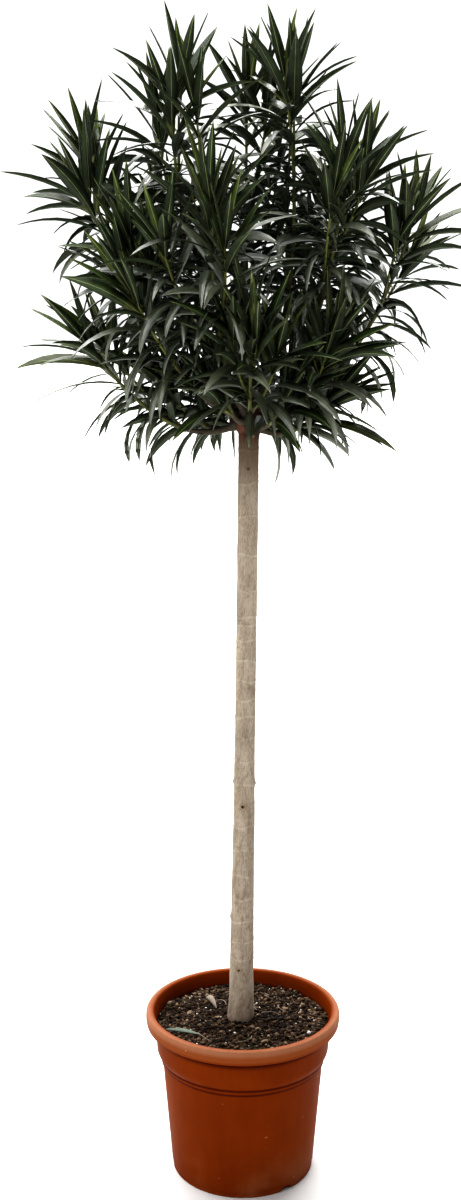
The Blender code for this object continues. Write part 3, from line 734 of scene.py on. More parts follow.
def trunk_bark():
    """Pale bark with fine upright speckle, pale scar rings, brown round the knots, painted shadow of the
    crown high up, and red-brown on the knuckle.
    """
    finish, shader, place = start_finish("trunk bark", Specular_IOR_Level=0.25)
    speckle = place.stretched(1, 1, 0.22).noise(620, 3, 0.7)
    cloud = place.stretched(1, 1, 0.3).noise(55, 3)
    grain = place.noise(900, 2)
    height = place.height()
    tone = (speckle * 0.55 + cloud * 0.45).between(0.34, 0.66)
    colour = tone.blend((0.215, 0.172, 0.130), (0.392, 0.338, 0.270))
    cleft = place.mark("cleft").between(0.86, 1.0) * 0.55
    colour = cleft.blend(colour, (0.170, 0.125, 0.085))
    colour = (place.mark("scar") * 0.55 * cloud.between(0.3, 0.6)).blend(colour, (0.48, 0.425, 0.345))
    colour = (place.mark("stain") * (0.3 + cloud)).between(0.20, 1.3).blend(colour, (0.200, 0.120, 0.070))
    colour = place.mark("eye").between(0.25, 0.8).blend(colour, (0.035, 0.018, 0.010))
    # painted shadow of the crown: the bark darkens from this height up to just under the knuckle
    shade = height.between(CROWN_SHADOW_FROM, KNUCKLE_FOOT - 0.012) * 0.88
    colour = shade.blend(colour, (0.095, 0.062, 0.036))
    mottle = (speckle * 0.5 + cloud * 0.5).between(0.35, 0.65)
    red_brown = mottle.blend((0.026, 0.011, 0.007), (0.125, 0.050, 0.026))
    colour = place.mark("knuckle").blend(colour, red_brown)
    foot = height.between(SOIL_TOP + 0.014, SOIL_TOP - 0.004) * (0.20 + speckle * 0.5)
    colour = foot.blend(colour, (0.105, 0.070, 0.045))
    feed(
        shader,
        Base_Color=colour,
        Roughness=0.72 + speckle * 0.2,
        Normal=(speckle * 0.75 + grain * 0.25).relief(0.0009, 0.8),
    )
    return finish


points, faces, marks = trunk_surface()
trunk = mesh_piece("trunk_bark", points, faces, [trunk_bark()], marks=marks)
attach(trunk, "root")
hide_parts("trunk")


# ---- Limbs and shoots ----
# The knuckle sends up limbs in all directions. Each limb turns upwards, carries side shoots one above the
# other, and is brown and ringed with leaf scars where it is old and green where it is this year's wood. Both
# colours of its bark are darkened as painted shade inside the crown.

BOUGH_SHARE = 0.36
BOUGH_FOOT_RADIUS = 0.0060
BOUGH_TIP_RADIUS = 0.0040
KNEE_SHARE = 0.42
FOOT_RISE_GAIN = 1.5
FOOT_RISE_DROP = 62
LOWEST_FOOT_RISE = -35
SHOOT_RADIUS = 0.0028
TWIG_TIP_RADIUS = 0.0017
FIRST_SHOOT = 0.38
SHOOT_SPREAD = 0.34
GOLDEN_ANGLE = 137.5
SHOOT_LEAN = 10
SHOOT_FAN_RANGE = (0.85, 1.25)
SHOOT_LENGTH_RANGE = (0.82, 1.02)
SHOOT_OUTWARD = 0.8
SHOOT_ONWARD = 0.35
SHOOT_UPWARD = 0.28
LIMB_GAP = 0.0003             # between the knuckle and the foot of the limb's curve
LIMB_START = -0.03            # share of the curve where the wood starts, inside the knuckle
LIMB_ROWS = 70
LIMB_COLUMNS = 12
SHOOT_ROWS = 34
SHOOT_COLUMNS = 9
LIMB_RINGS = (0.45, 0.010, 0.09, 0.021)  # flare of the foot and its length, swelling and pitch of the scars
SHOOT_RINGS = (0.35, 0.006, 0.08, 0.018)

MASSES = (  # name, bearing and rise of the limb, its reach, shoots, their fan and first turn (degrees)
    ("top_left", 206, 77, 0.545, 4, 11, 225),
    ("top_back", 93, 82, 0.530, 3, 12, 20),
    ("top_right", -16, 84, 0.550, 3, 7, 230),
    ("shoulder_right", -29, 68, 0.450, 4, 14, 215),
    ("far_right", -4, 51, 0.430, 3, 14, 190),
    ("low_right", -42, 36, 0.225, 3, 16, 250),
    ("far_left", 180, 58, 0.500, 3, 12, 200),
    ("left", 212, 52, 0.360, 4, 16, 150),
    ("low_left", 190, 25, 0.300, 2, 15, 290),
    ("front", 252, 58, 0.405, 4, 18, 0),
    ("front_low", 270, 36, 0.260, 4, 20, 200),
    ("back_left", 135, 59, 0.430, 4, 20, 0),
    ("back_right", 48, 58, 0.420, 4, 20, 180),
    ("back_low", 92, 34, 0.270, 4, 22, 0),
    ("skirt_right", -14, 12, 0.145, 2, 14, 250),
    ("skirt_front", 304, 28, 0.120, 3, 20, 40),
    ("skirt_left", 240, 40, 0.110, 2, 18, 80),
    ("skirt_far_left", 172, 24, 0.165, 2, 20, 0),
    ("skirt_back_left", 128, 26, 0.150, 3, 22, 30),
    ("skirt_back", 50, 26, 0.150, 3, 22, 0),
)
TRUNK_FOLIAGE = "skirt"        # masses of this kind spring straight from the knuckle
UP = Vector((0, 0, 1))


def turned_off(axis, angle, roll):
    """Unit vector at an angle from an axis, on the side given by roll about that axis, in degrees."""
    side = axis.cross(UP).normalized()
    other = axis.cross(side)
    around = side * math.cos(math.radians(roll)) + other * math.sin(math.radians(roll))
    return axis * math.cos(math.radians(angle)) + around * math.sin(math.radians(angle))


def heading_on(path, share):
    """Direction of a limb's curve at a share of it."""
    foot, knee, tip = path
    return ((knee - foot) * (1 - share) + (tip - knee) * share).normalized()


def length_of(path):
    """Length of a limb's curve, from short chords."""
    chords = 16
    spots = [point_on(path, i / chords) for i in range(chords + 1)]
    return sum((b - a).length for a, b in zip(spots[:-1], spots[1:]))


def limb_path(bearing, rise, reach):
    """Curve of a limb from the knuckle's surface to its tip."""
    foot_rise = max(FOOT_RISE_GAIN * rise - FOOT_RISE_DROP, LOWEST_FOOT_RISE)
    leaving = toward(bearing, foot_rise)
    foot = HEAD + leaving * (HEAD_RADIUS + LIMB_GAP)
    tip = HEAD + toward(bearing, rise) * reach
    knee = foot + leaving * ((tip - foot).length * KNEE_SHARE)
    return foot, knee, tip


def shoot_paths(limb, reach, count, fan, turn, draw):
    """Side shoots of a limb: they leave it one above the other, each turned on by the golden angle."""
    paths = []
    for i in range(count - 1):
        share = FIRST_SHOOT + SHOOT_SPREAD * i / max(count - 2, 1)
        start = point_on(limb, share)
        axis = heading_on(limb, share)
        lean = fan * draw.uniform(*SHOOT_FAN_RANGE) + SHOOT_LEAN
        away = turned_off(axis, lean, turn + i * GOLDEN_ANGLE)
        length = reach * (1 - share) * draw.uniform(*SHOOT_LENGTH_RANGE)
        onward = away * SHOOT_OUTWARD + axis * SHOOT_ONWARD + UP * SHOOT_UPWARD
        paths.append((start, start + away * (length / 2), start + onward.normalized() * length))
    return paths


def tubes(paths, radius_at, rows, columns, first=0.0):
    """Round limbs along curves, all worked out at once, closed by a point at each end.

    Each curve is the quadratic of its foot, knee and tip. A ring stands square to the curve at each share,
    in the frame of the curve's own plane and its constant binormal, which a tiny vector keeps off zero where
    the curve is straight. radius_at gives its radius, and each point's youth is its share of the curve."""
    foot, knee, tip = (np.array([path[i] for path in paths])[:, None] for i in range(3))
    share = np.linspace(first, 1, rows)[None, :, None]
    middle = foot * (1 - share) ** 2 + knee * 2 * share * (1 - share) + tip * share ** 2
    along = (knee - foot) * (1 - share) + (tip - knee) * share
    along /= np.linalg.norm(along, axis=2, keepdims=True)
    binormal = np.cross(knee - foot, tip - knee) + np.array([1e-7, 2e-7, 1e-7])
    binormal = binormal / np.linalg.norm(binormal, axis=2, keepdims=True) + 0 * along
    normal = np.cross(binormal, along)
    length = np.linalg.norm(np.diff(middle, axis=1), axis=2).sum(axis=1)[:, None]
    radius = radius_at(share[..., 0] + 0 * length, length)
    turn = np.linspace(0, math.tau, columns, endpoint=False)
    spoke = normal[:, :, None] * np.cos(turn)[:, None] + binormal[:, :, None] * np.sin(turn)[:, None]
    points = middle[:, :, None] + spoke * radius[..., None, None]
    count = len(paths)
    points = np.concatenate([points.reshape(count, -1, 3), middle[:, :1], middle[:, -1:]], axis=1)
    youth = np.repeat(share[..., 0] + 0 * length, columns, axis=1)
    youth = np.concatenate([youth, youth[:, :1], youth[:, -1:]], axis=1)
    faces = [repeated(part, count, points.shape[1]) for part in closed_faces(rows, columns)]
    return points.reshape(-1, 3), faces, youth.ravel()


def ringed(radius, from_foot, flare, flare_length, swelling, pitch):
    """Radius flared at the foot by a bell curve and swollen at each leaf scar by a cosine's sixth power."""
    foot = 1 + flare * np.exp(-(from_foot / flare_length) ** 2)
    scars = 1 + swelling * np.maximum(np.cos(from_foot * math.tau / pitch), 0) ** 6
    return radius * foot * scars


def limb_radius(share, length):
    """Limb's radius: an even taper to the bough's end and another on to the tip, ringed."""
    bough = BOUGH_FOOT_RADIUS + (BOUGH_TIP_RADIUS - BOUGH_FOOT_RADIUS) * share / BOUGH_SHARE
    stem = BOUGH_TIP_RADIUS + (TWIG_TIP_RADIUS - BOUGH_TIP_RADIUS) * (share - BOUGH_SHARE) / (1 - BOUGH_SHARE)
    radius = np.where(share < BOUGH_SHARE, bough, stem)
    return ringed(radius, np.maximum(share, 0) * length, *LIMB_RINGS)


def shoot_radius(share, length):
    """Side shoot's radius: an even taper, ringed."""
    return ringed(SHOOT_RADIUS + (TWIG_TIP_RADIUS - SHOOT_RADIUS) * share, share * length, *SHOOT_RINGS)


def limb_bark(name, old, new, green_from):
    """Bark that is brown and corky low on the limb and smooth green towards its tip."""
    finish, shader, place = start_finish(name, Specular_IOR_Level=0.3)
    speckle = place.noise(520, 3, 0.65)
    cloud = place.noise(70, 3)
    aged = speckle.between(0.35, 0.65).blend(tinted(old, 0.5), old)
    green = cloud.between(0.3, 0.7).blend(tinted(new, 0.65), new)
    young = (place.mark("youth") + cloud * 0.2 - 0.1).between(green_from, green_from + 0.25)
    feed(
        shader,
        Base_Color=young.blend(aged, green),
        Roughness=0.8 - young * 0.25,
        Normal=speckle.relief(0.0005, 0.7),
    )
    return finish


limbs = {name: limb_path(bearing, rise, reach) for name, bearing, rise, reach, _, _, _ in MASSES}
points, faces, youth = tubes(list(limbs.values()), limb_radius, LIMB_ROWS, LIMB_COLUMNS, LIMB_START)
# painted shade: the limb bark's old brown and new green are darkened to stand for the shade inside the crown
limb_wood = limb_bark("limb bark", (0.080, 0.066, 0.044), (0.130, 0.140, 0.042), 0.3)
boughs = mesh_piece("limbs", points, faces, [limb_wood], marks={"youth": youth})
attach(boughs, "root")
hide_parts(*["bough_" + name for name in limbs if not name.startswith(TRUNK_FOLIAGE)])


# ---- Leaves ----
# Narrow leathery leaves in whorls of three: dark glossy green above with a pale midrib, dull green beneath
# and darkened there as painted shade. They stand up round a shoot's tip, where the newest are yellow-green,
# and arch over and hang lower down, where the older ones are glossier and painted a lighter grey-green as a
# silver sheen.
# Each mass has its limb's stem, its side shoots and short spurs that leave both lower down.

WHORL = 3
WHORL_START = 0.004
WHORL_PITCH = 0.015
WHORL_STRETCH = 0.012
STRETCH_LENGTH = 0.05
LEAFY_LENGTH = 0.30
BARE_STEM = 0.40
BARE_SHOOT = 0.12
FULL_AGE = 0.095
YOUNG_LEAF = 0.112
LEAF_GROWTH = 0.036
GROWN_DEPTH = 0.03
OLD_LEAF_LOSS = 0.030
LEAF_SIZE_RANGE = (0.85, 1.12)
TIP_ANGLE = 12
SIDE_ANGLE = 52
AGE_POWER = 0.75
ANGLE_JITTER = 9
ROLL_JITTER = 14
LIFT = 0.45
YOUNG_DROOP = 8
OLD_DROOP = 74
DROOP_RANGE = (0.5, 1.3)
DROOP_GAIN = 1.3
FACE_ALONG_TWIG = 0.55
FACE_UPWARD = 0.45
SEED = 100
SPUR_SEED = 300
SKIRT_SEED = 400              # for a second set of older leaves on the low masses, which hang by the knuckle
SKIRT_BACK = -0.5             # they grow at the back and sides, and leave the knuckle in view in front
SPUR_PLACES = (0.20, 0.48)    # shares of a side shoot where its spurs leave it
SPUR_PLACES_ON_STEM = (0.46, 0.68)
SPUR_PLACE_JITTER = 0.06
SPUR_ANGLE = 42
CROWN_MIDDLE = Vector((0, 0, 1.65))
SPUR_DISTANCE = 0.16          # spurs that would end farther from the middle are left out
SPUR_LENGTH_RANGE = (0.045, 0.085)
SPUR_LEAF_SIZE = 0.80         # of a full shoot's leaves
SPUR_AGE = 0.070              # a spur's leaves are as old as those so far below a shoot's tip
YOUNG_DEPTH = 0.01            # leaves nearer than this to a shoot's tip are yellow-green
SPUR_RADIUS = 0.0018
SPUR_TIP_RADIUS = 0.0012
SPUR_ROWS = 8
SPUR_COLUMNS = 6

YOUNG_WIDTH = 0.130           # shares of the length
OLD_WIDTH = 0.152
LEAF_STATIONS = (0, 0.05, 0.13, 0.25, 0.39, 0.54, 0.69, 0.83, 0.93)
LEAF_STALK = 0.0011
RIB_HALF_WIDTH = 0.00045
RIB_DEPTH = 0.0010
RIB_MOST_WIDTH = 0.6          # the most that the rib may take of the blade's half width, across and in depth
RIB_MOST_DEPTH = 0.8
RIB_TAPER = 0.7               # of its width, on the underside
YOUNG_FOLD = 20
OLD_FOLD = 9
LEAF_ROLL = 30                # most that a blade is rolled about its midrib at the root, and twisted along it
LEAF_TWIST = 30
LEAF_BREADTH_RANGE = (0.9, 1.12)
BLADE_SKEW = 0.85             # below 1, a blade is broadest nearer its root
BLADE_FULLNESS = 0.9          # below 1, its outline is fuller than a sine's
BLADE_SEED = 70
CLEAR_MIDDLE = HEAD.x * 0.9   # the trunk's place in X under the knuckle
CLEAR_RADIUS = HEAD_RADIUS * 0.8  # a leaf that would come nearer to it is left out
GREENS = 3
WAXY_SHEEN_AGE = 0.50               # leaves older than this are glossier, and their lighter grey-green is a painted silver sheen
WAX_IOR = 1.9
YOUNG_GREEN = GREENS * 2
RIB = YOUNG_GREEN + 1
WAXY_RIB = YOUNG_GREEN + 2
UNDERSIDE = YOUNG_GREEN + 3
LEAF_FOOT = YOUNG_GREEN + 4
FOOT_ROWS = 3                 # rows of faces at the root of a young leaf that stay yellow-green
FOOT_AGE = 0.6                # leaves older than this are green down to the root

TIERS = {  # which masses' leaves are joined in each piece
    "leaves_upper": ("top_left", "top_back", "top_right", "shoulder_right", "far_left"),
    "leaves_middle": ("far_right", "left", "front", "back_left", "back_right"),
    "leaves_lower": (
        "low_right", "low_left", "front_low", "back_low", "skirt_right",
        "skirt_front", "skirt_left", "skirt_far_left", "skirt_back_left", "skirt_back",
    ),
}


def spur_radius(share, length):
    """Spur's radius: even taper."""
    return SPUR_RADIUS + (SPUR_TIP_RADIUS - SPUR_RADIUS) * share


def leaves_on(path, bare, draw, green, past_tip=0.0):
    """Leaves of one shoot, tip first: root, direction, axis of its twig, length, droop, age and green.

    Those of a twig that has stopped growing are as old as if its tip were so far past its end."""
    leaves = []
    length = length_of(path)
    spin = draw.uniform(0, 360)
    depth = WHORL_START
    whorl = 0
    while depth < min(LEAFY_LENGTH, (1 - bare) * length):
        share = 1 - depth / length
        axis = heading_on(path, share)
        age = min((depth + past_tip) / FULL_AGE, 1)
        for place in range(WHORL):
            angle = TIP_ANGLE + SIDE_ANGLE * age ** AGE_POWER + draw.uniform(-ANGLE_JITTER, ANGLE_JITTER)
            turn = 360 / WHORL * place + 180 / WHORL * (whorl % 2)
            roll = spin + turn + draw.uniform(-ROLL_JITTER, ROLL_JITTER)
            direction = (turned_off(axis, angle, roll) + UP * (LIFT * (1 - axis.z))).normalized()
            grown = YOUNG_LEAF + LEAF_GROWTH * min(depth / GROWN_DEPTH, 1)
            size = (grown - OLD_LEAF_LOSS * max(age * 2 - 1, 0)) * draw.uniform(*LEAF_SIZE_RANGE)
            droop = YOUNG_DROOP + OLD_DROOP * age * draw.uniform(*DROOP_RANGE)
            shade = YOUNG_GREEN if depth + past_tip < YOUNG_DEPTH else green + GREENS * (age > WAXY_SHEEN_AGE)
            leaves.append((point_on(path, share), direction, axis, size, droop, age, shade))
        depth += WHORL_PITCH + WHORL_STRETCH * min(depth / STRETCH_LENGTH, 1)
        whorl += 1
    return leaves


def spur_paths(path, places, draw):
    """Short spurs of a shoot: each leaves it sideways near its place and bends up."""
    paths = []
    for place in places:
        share = place + draw.uniform(-SPUR_PLACE_JITTER, SPUR_PLACE_JITTER)
        start = point_on(path, share)
        away = turned_off(heading_on(path, share), SPUR_ANGLE, draw.uniform(0, 360))
        length = draw.uniform(*SPUR_LENGTH_RANGE)
        paths.append((start, start + away * (length / 2), start + (away + UP * LIFT).normalized() * length))
    return paths


def spur_leaves(path, draw, green):
    """Leaves of a spur: a shoot's leaves, but smaller and all of them leaning out and arching."""
    leaves = leaves_on(path, BARE_SHOOT, draw, green, SPUR_AGE)
    return [(*leaf[:3], leaf[3] * SPUR_LEAF_SIZE, *leaf[4:]) for leaf in leaves]


def midribs(root, direction, size, droop, station):
    """Points along all the leaves' midribs, and the directions there.

    A midrib starts along its leaf's direction and turns down evenly, so that it is an arc whose sine and
    cosine give its place at each station. One whose leaf points nearly straight up or down turns less, and
    the bend at the root is kept just off zero, because it divides."""
    down = direction * direction[..., 2:] - np.array([0, 0, 1.0])
    steepness = np.linalg.norm(down, axis=2, keepdims=True)
    down = down / steepness
    give = np.minimum(1, steepness[..., 0] * DROOP_GAIN)
    bend = (np.radians(droop) * give * np.maximum(station, 0.001))[..., None]
    reach = (size * station)[..., None]
    spine = root + direction * reach * np.sin(bend) / bend + down * reach * (1 - np.cos(bend)) / bend
    return spine, direction * np.cos(bend) + down * np.sin(bend)


def blade_finish(green, age, rows):
    """Number of each face's finish, for the rows of quads and then for the two ends.

    Of the six faces round a row, two are the blade's upper side, two its underside and two the midrib."""
    upper_face = np.array([1, 0, 1, 0, 0, 0])
    under_face = np.array([0, 0, 0, 1, 0, 1])
    midrib = np.where(age > WAXY_SHEEN_AGE, WAXY_RIB, RIB)
    finish = upper_face * green + under_face * UNDERSIDE + (1 - upper_face - under_face) * midrib
    finish = finish.astype(int)
    quads = np.repeat(finish[:, None], rows, axis=1)
    quads[:, :FOOT_ROWS] = np.where(upper_face * (age < FOOT_AGE), LEAF_FOOT, finish)[:, None]
    ends = np.concatenate([np.full_like(finish, RIB), finish], axis=1)
    return np.concatenate([quads.ravel(), ends.ravel()])


def leaf_blades(leaves, seed):
    """Closed blades of all the leaves, worked out at once, and the finish of each face.

    The half width is the sine of pi times a power of the station, all to another power. Across a station
    run six points: edge, rib, rib, edge, and two under the rib. The edges are folded up, and the fold's
    frame is rolled about the midrib and twists evenly along it."""
    root, direction, axis = (np.array([leaf[i] for leaf in leaves])[:, None] for i in range(3))
    size, droop, age, green = (np.array([leaf[i] for leaf in leaves])[:, None] for i in range(3, 7))
    draw = np.random.default_rng(seed)
    roll = np.radians(draw.uniform(-LEAF_ROLL, LEAF_ROLL, size.shape))
    twist = np.radians(draw.uniform(-LEAF_TWIST, LEAF_TWIST, size.shape))
    broad = draw.uniform(*LEAF_BREADTH_RANGE, size.shape)
    station = np.array(LEAF_STATIONS + (1,))[None]
    spine, along = midribs(root, direction, size, droop, station)
    face = axis - direction * (axis * direction).sum(axis=2, keepdims=True)
    face = face / np.linalg.norm(face, axis=2, keepdims=True) * FACE_ALONG_TWIG
    face = face + np.array([0, 0, FACE_UPWARD])
    across = np.cross(face, along)
    across /= np.linalg.norm(across, axis=2, keepdims=True)
    upper = np.cross(along, across)
    turn = (roll + twist * station)[..., None]
    across, upper = across * np.cos(turn) + upper * np.sin(turn), upper * np.cos(turn) - across * np.sin(turn)
    width = size * (YOUNG_WIDTH + (OLD_WIDTH - YOUNG_WIDTH) * age) * broad
    half = width / 2 * np.abs(np.sin(math.pi * station ** BLADE_SKEW)) ** BLADE_FULLNESS
    half = np.maximum(half, LEAF_STALK)[..., None]
    fold = np.radians(YOUNG_FOLD + (OLD_FOLD - YOUNG_FOLD) * age)[..., None]
    rib = np.minimum(RIB_HALF_WIDTH, half * RIB_MOST_WIDTH)
    depth = np.minimum(RIB_DEPTH, half * RIB_MOST_DEPTH)
    edge_out = across * half * np.cos(fold)
    edge_up = upper * half * np.sin(fold)
    section = (
        edge_out + edge_up,
        across * rib,
        -across * rib,
        edge_up - edge_out,
        -across * rib * RIB_TAPER - upper * depth,
        across * rib * RIB_TAPER - upper * depth,
    )
    rings = np.stack([spine + offset for offset in section], axis=2)[:, :-1]
    count, rows, columns = rings.shape[:3]
    points = np.concatenate([rings.reshape(count, -1, 3), spine[:, :1], spine[:, -1:]], axis=1)
    faces = [repeated(part, count, points.shape[1]) for part in closed_faces(rows, columns)]
    return points.reshape(-1, 3), faces, blade_finish(green, age, rows - 1)


def is_clear_of_trunk(leaf):
    """Whether a leaf stays outside the trunk, tested at quarters of its length."""
    root, direction, _, size, droop, _, _ = leaf
    for share in (0.25, 0.5, 0.75):
        sunk = size * share * math.radians(droop) * share / 2
        spot = root + direction * (size * share) - UP * sunk
        if spot.z < HEAD.z + HEAD_RADIUS and math.hypot(spot.x - CLEAR_MIDDLE, spot.y) < CLEAR_RADIUS:
            return False
    return True


def leaf_green(name, colour, roughness, gloss, wax=1.45):
    """Waxy skin of a leaf, clouded a little lighter and darker, with a faint leathery grain."""
    finish, shader, place = start_finish(name, Specular_IOR_Level=gloss, IOR=wax)
    cloud = place.noise(26, 3)
    grain = place.noise(700, 2)
    feed(
        shader,
        Base_Color=cloud.between(0.3, 0.7).blend(tinted(colour, 0.72), tinted(colour, 1.25)),
        Roughness=roughness + cloud * 0.12,
        Normal=grain.relief(0.0003, 0.5),
    )
    return finish


def leaf_finishes():
    """Finishes in the order of the numbers that blade_finish gives."""
    return [
        leaf_green("leaf deep green", (0.024, 0.043, 0.013), 0.30, 0.45),
        leaf_green("leaf green", (0.038, 0.060, 0.016), 0.32, 0.45),
        leaf_green("leaf olive green", (0.056, 0.070, 0.019), 0.34, 0.45),
        # the waxy greens are lighter and greyer than the others as a painted silver sheen, on top of their
        # real gloss
        leaf_green("waxy deep green with painted sheen", (0.040, 0.055, 0.026), 0.32, 1.0, WAX_IOR),
        leaf_green("waxy green with painted sheen", (0.080, 0.096, 0.050), 0.35, 1.0, WAX_IOR),
        leaf_green("waxy grey-green with painted sheen", (0.140, 0.156, 0.094), 0.38, 1.0, WAX_IOR),
        leaf_green("leaf young green", (0.070, 0.098, 0.020), 0.32, 0.40),
        leaf_green("leaf midrib", (0.270, 0.310, 0.130), 0.45, 0.25),
        leaf_green("waxy midrib", (0.090, 0.105, 0.060), 0.40, 0.80),
        # painted shade: the underside's dull green is darkened to stand for the shade beneath the leaves
        leaf_green("leaf underside", (0.034, 0.046, 0.024), 0.50, 0.20),
        leaf_green("leaf foot yellow-green", (0.085, 0.098, 0.024), 0.40, 0.40),
    ]


leaves_of = {}
shoots = []
spurs = []
for number, (name, bearing, rise, reach, count, fan, turn) in enumerate(MASSES):
    draw = random.Random(SEED + number)
    spur_draw = random.Random(SPUR_SEED + number)
    leaves_of[name] = leaves_on(limbs[name], BARE_STEM, draw, number % GREENS)
    sprays = shoot_paths(limbs[name], reach, count, fan, turn, draw)
    short = spur_paths(limbs[name], SPUR_PLACES_ON_STEM, spur_draw)
    for spray, path in enumerate(sprays):
        leaves_of[name] += leaves_on(path, BARE_SHOOT, draw, (number + spray) % GREENS)
        short += spur_paths(path, SPUR_PLACES, spur_draw)
    short = [path for path in short if (path[2] - CROWN_MIDDLE).length < SPUR_DISTANCE]
    for spray, path in enumerate(short):
        leaves_of[name] += spur_leaves(path, spur_draw, (number + spray) % GREENS)
    if name.startswith(TRUNK_FOLIAGE) and toward(bearing, 0).y > SKIRT_BACK:
        leaves_of[name] += spur_leaves(limbs[name], random.Random(SKIRT_SEED + number), number % GREENS)
    shoots += sprays
    spurs += short

points, faces, youth = tubes(shoots, shoot_radius, SHOOT_ROWS, SHOOT_COLUMNS)
shoot_wood = limb_bark("shoot bark", (0.120, 0.105, 0.055), (0.175, 0.190, 0.050), 0.1)
side_shoots = mesh_piece("side_shoots", points, faces, [shoot_wood], marks={"youth": youth})
points, faces, youth = tubes(spurs, spur_radius, SPUR_ROWS, SPUR_COLUMNS)
spur_twigs = mesh_piece("spurs", points, faces, [shoot_wood], marks={"youth": youth})
for piece in (side_shoots, spur_twigs):
    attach(piece, "root")
    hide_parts(*["foliage_" + name for name in limbs])

greens = leaf_finishes()
for tier, (tier_name, names) in enumerate(TIERS.items()):
    kept = [leaf for name in names for leaf in leaves_of[name] if is_clear_of_trunk(leaf)]
    points, faces, face_finish = leaf_blades(kept, BLADE_SEED + tier)
    blades = mesh_piece(tier_name, points, faces, greens, face_finish)
    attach(blades, "root")
    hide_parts(*["foliage_" + name for name in names])


# ---- Litter on the soil ----
# A fallen leaf that has turned grey-green, a dry curled one, a straw, a white pebble and a few rootlets
# lie on the soil round the trunk.

LYING_LEAVES = (  # root, tip, rise of the root and droop: the fallen leaf, then the dry one
    (Vector((-0.0760, -0.0690, 0)), Vector((-0.1400, -0.0440, 0)), 0.16, 16),
    (Vector((-0.0480, 0.0300, 0)), Vector((-0.0740, 0.1040, 0)), 0.55, 75),
)
LYING_FACE = Vector((0, -0.5, 0.85))  # where the upper side of a leaf on the soil looks
LYING_STEMS = (  # start, end and how far the middle stands off to the side: the straw, then the rootlets
    (Vector((-0.0800, -0.0590, 0)), Vector((-0.0540, -0.0950, 0)), 0.004),
    (Vector((0.0230, 0.0530, 0)), Vector((0.0480, 0.0120, 0)), 0.014),
    (Vector((0.0300, 0.0060, 0)), Vector((0.0720, 0.0020, 0)), -0.010),
    (Vector((0.0660, 0.0500, 0)), Vector((0.0840, 0.0200, 0)), 0.008),
    (Vector((-0.0300, 0.0480, 0)), Vector((-0.0600, 0.0700, 0)), 0.010),
    (Vector((0.0150, -0.0700, 0)), Vector((-0.0150, -0.1000, 0)), -0.012),
    (Vector((-0.1000, 0.0200, 0)), Vector((-0.0700, 0.0350, 0)), 0.010),
)
LEAF_LIFT = 0.002             # from the soil to a lying leaf's ends
STEM_LIFT = 0.0012
STEM_ARCH = 0.006
STEM_RADIUS = 0.0010
STEM_TIP_RADIUS = 0.0004
STEM_ROWS = 20
STEM_COLUMNS = 7
LITTER_SEED = 80
PEBBLE_PLACE = Vector((0.117, -0.0545, 0))
PEBBLE_SIZES = (0.0042, 0.0042)
PEBBLE_LIFT = 0.0015
PEBBLE_SEED = 83


def on_soil(spot, lift):
    """The spot raised to stand just over the soil."""
    return Vector((spot.x, spot.y, float(soil_height(spot.x, spot.y)) + lift))


def lying_leaf(root, tip, rise, droop, green):
    """A leaf, in the form that leaves_on gives, that lies from one place on the soil towards another."""
    root, tip = on_soil(root, LEAF_LIFT), on_soil(tip, LEAF_LIFT)
    direction = (tip - root).normalized() + UP * rise
    return root, direction.normalized(), LYING_FACE, (tip - root).length, droop, 1.0, green


def lying_stem(start, end, bulge):
    """Curve of a thin stem that lies on the soil and stands off to one side at its middle."""
    start, end = on_soil(start, STEM_LIFT), on_soil(end, STEM_LIFT)
    side = (end - start).cross(UP).normalized() * (2 * bulge)
    return start, (start + end) / 2 + side + UP * STEM_ARCH, end


def stem_radius(share, length):
    """Thin stem's radius: an even taper."""
    return STEM_RADIUS - (STEM_RADIUS - STEM_TIP_RADIUS) * share


dry_leaf = crumb_finish("dry leaf", (0.30, 0.245, 0.195), 0.75)
wilted_leaf = crumb_finish("wilted leaf", (0.120, 0.150, 0.115), 0.6)
wilted_rib = crumb_finish("wilted midrib", (0.30, 0.33, 0.24), 0.6)
lying = [lying_leaf(*leaf, number) for number, leaf in enumerate(LYING_LEAVES)]
points, faces, face_finish = leaf_blades(lying, LITTER_SEED)
lying_finishes = [wilted_leaf, dry_leaf, dry_leaf, dry_leaf, wilted_rib, wilted_leaf]
fallen_leaves = mesh_piece("fallen_leaves", points, faces, lying_finishes, face_finish)
stems = [lying_stem(*stem) for stem in LYING_STEMS]
points, faces, _ = tubes(stems, stem_radius, STEM_ROWS, STEM_COLUMNS)
straws = mesh_piece("straw_and_rootlets", points, faces, [dry_leaf])
points, faces, _ = crumbs(1, PEBBLE_SIZES, PEBBLE_SEED, flat=1.0)
points = points - points.mean(axis=0) + np.array(on_soil(PEBBLE_PLACE, PEBBLE_LIFT))
pebble = mesh_piece("pebble", points, [faces], [crumb_finish("pebble", (0.72, 0.72, 0.70), 0.6)])
for piece in (fallen_leaves, straws, pebble):
    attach(piece, "root")


# ---- Floor, light and camera ----
# A plain pale floor under soft studio light: a broad main light from above and behind on the left, one lower
# behind, a faint one from the left in front, and a surround that is pale at the horizon and greyer overhead.

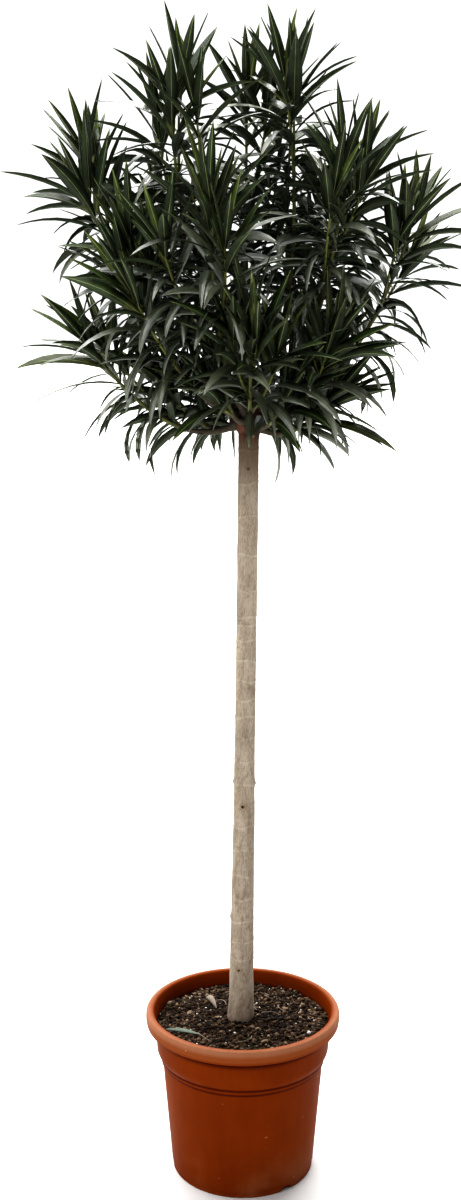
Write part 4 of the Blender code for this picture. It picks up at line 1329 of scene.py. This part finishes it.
FLOOR_SIZE = 400
SURROUND_LOW = (0.86, 0.86, 0.86)
SURROUND_HIGH = (0.20, 0.20, 0.20)
SURROUND_FADE = (0.21, 0.45)  # heights in the sky where the one starts to turn into the other, and has
CAMERA_PLACE = (-0.0221, -2.5, 1.495)
CAMERA_PITCH = 10.2
CAMERA_LENS = 44.4
SENSOR_HEIGHT = 36


def add_light(name, bearing, rise, breadth, strength):
    """Even light that comes from a bearing and a rise, as broad as a disc of so many degrees."""
    light = bpy.data.lights.new(name, "SUN")
    light.energy = strength
    light.angle = math.radians(breadth)
    holder = bpy.data.objects.new(name, light)
    holder.rotation_euler = toward(bearing, rise).to_track_quat("Z", "Y").to_euler()
    bpy.context.scene.collection.objects.link(holder)


def floor_finish():
    """Matt white floor with the faintest mottle."""
    finish, shader, place = start_finish("pale floor", Roughness=0.9, Specular_IOR_Level=0.1)
    cloud = place.noise(2.2, 3)
    feed(shader, Base_Color=cloud.between(0.3, 0.7).blend((0.64, 0.64, 0.636), (0.66, 0.66, 0.656)))
    return finish


def surround():
    """World that fades from pale at the horizon to grey overhead."""
    world = bpy.data.worlds.new("studio")
    world.use_nodes = True
    sky = world.node_tree.nodes["Background"]
    direction = Shade(world.node_tree).node("ShaderNodeTexCoord", {}, {}, "Generated")
    shade = direction.height().between(*SURROUND_FADE).blend(SURROUND_LOW, SURROUND_HIGH)
    world.node_tree.links.new(shade.socket, sky.inputs["Color"])
    return world


corners = np.array([(-1, -1, 0), (1, -1, 0), (1, 1, 0), (-1, 1, 0)]) * FLOOR_SIZE / 2
floor = mesh_piece("floor", corners, [np.array([[0, 1, 2, 3]])], [floor_finish()])
bpy.context.scene.world = surround()
bpy.context.scene.view_settings.view_transform = "Standard"
bpy.context.scene.view_settings.look = "High Contrast"
add_light("main light", 115, 62, 70, 4.8)
add_light("front left light", 225, 42, 40, 1.0)
add_light("back light", 75, 36, 50, 2.2)

camera_data = bpy.data.cameras.new("camera")
camera_data.sensor_fit = "VERTICAL"
camera_data.sensor_height = SENSOR_HEIGHT
camera_data.lens = CAMERA_LENS
camera = bpy.data.objects.new("camera", camera_data)
camera.location = CAMERA_PLACE
camera.rotation_euler = (math.radians(90 - CAMERA_PITCH), 0, 0)
bpy.context.scene.collection.objects.link(camera)
bpy.context.scene.camera = camera
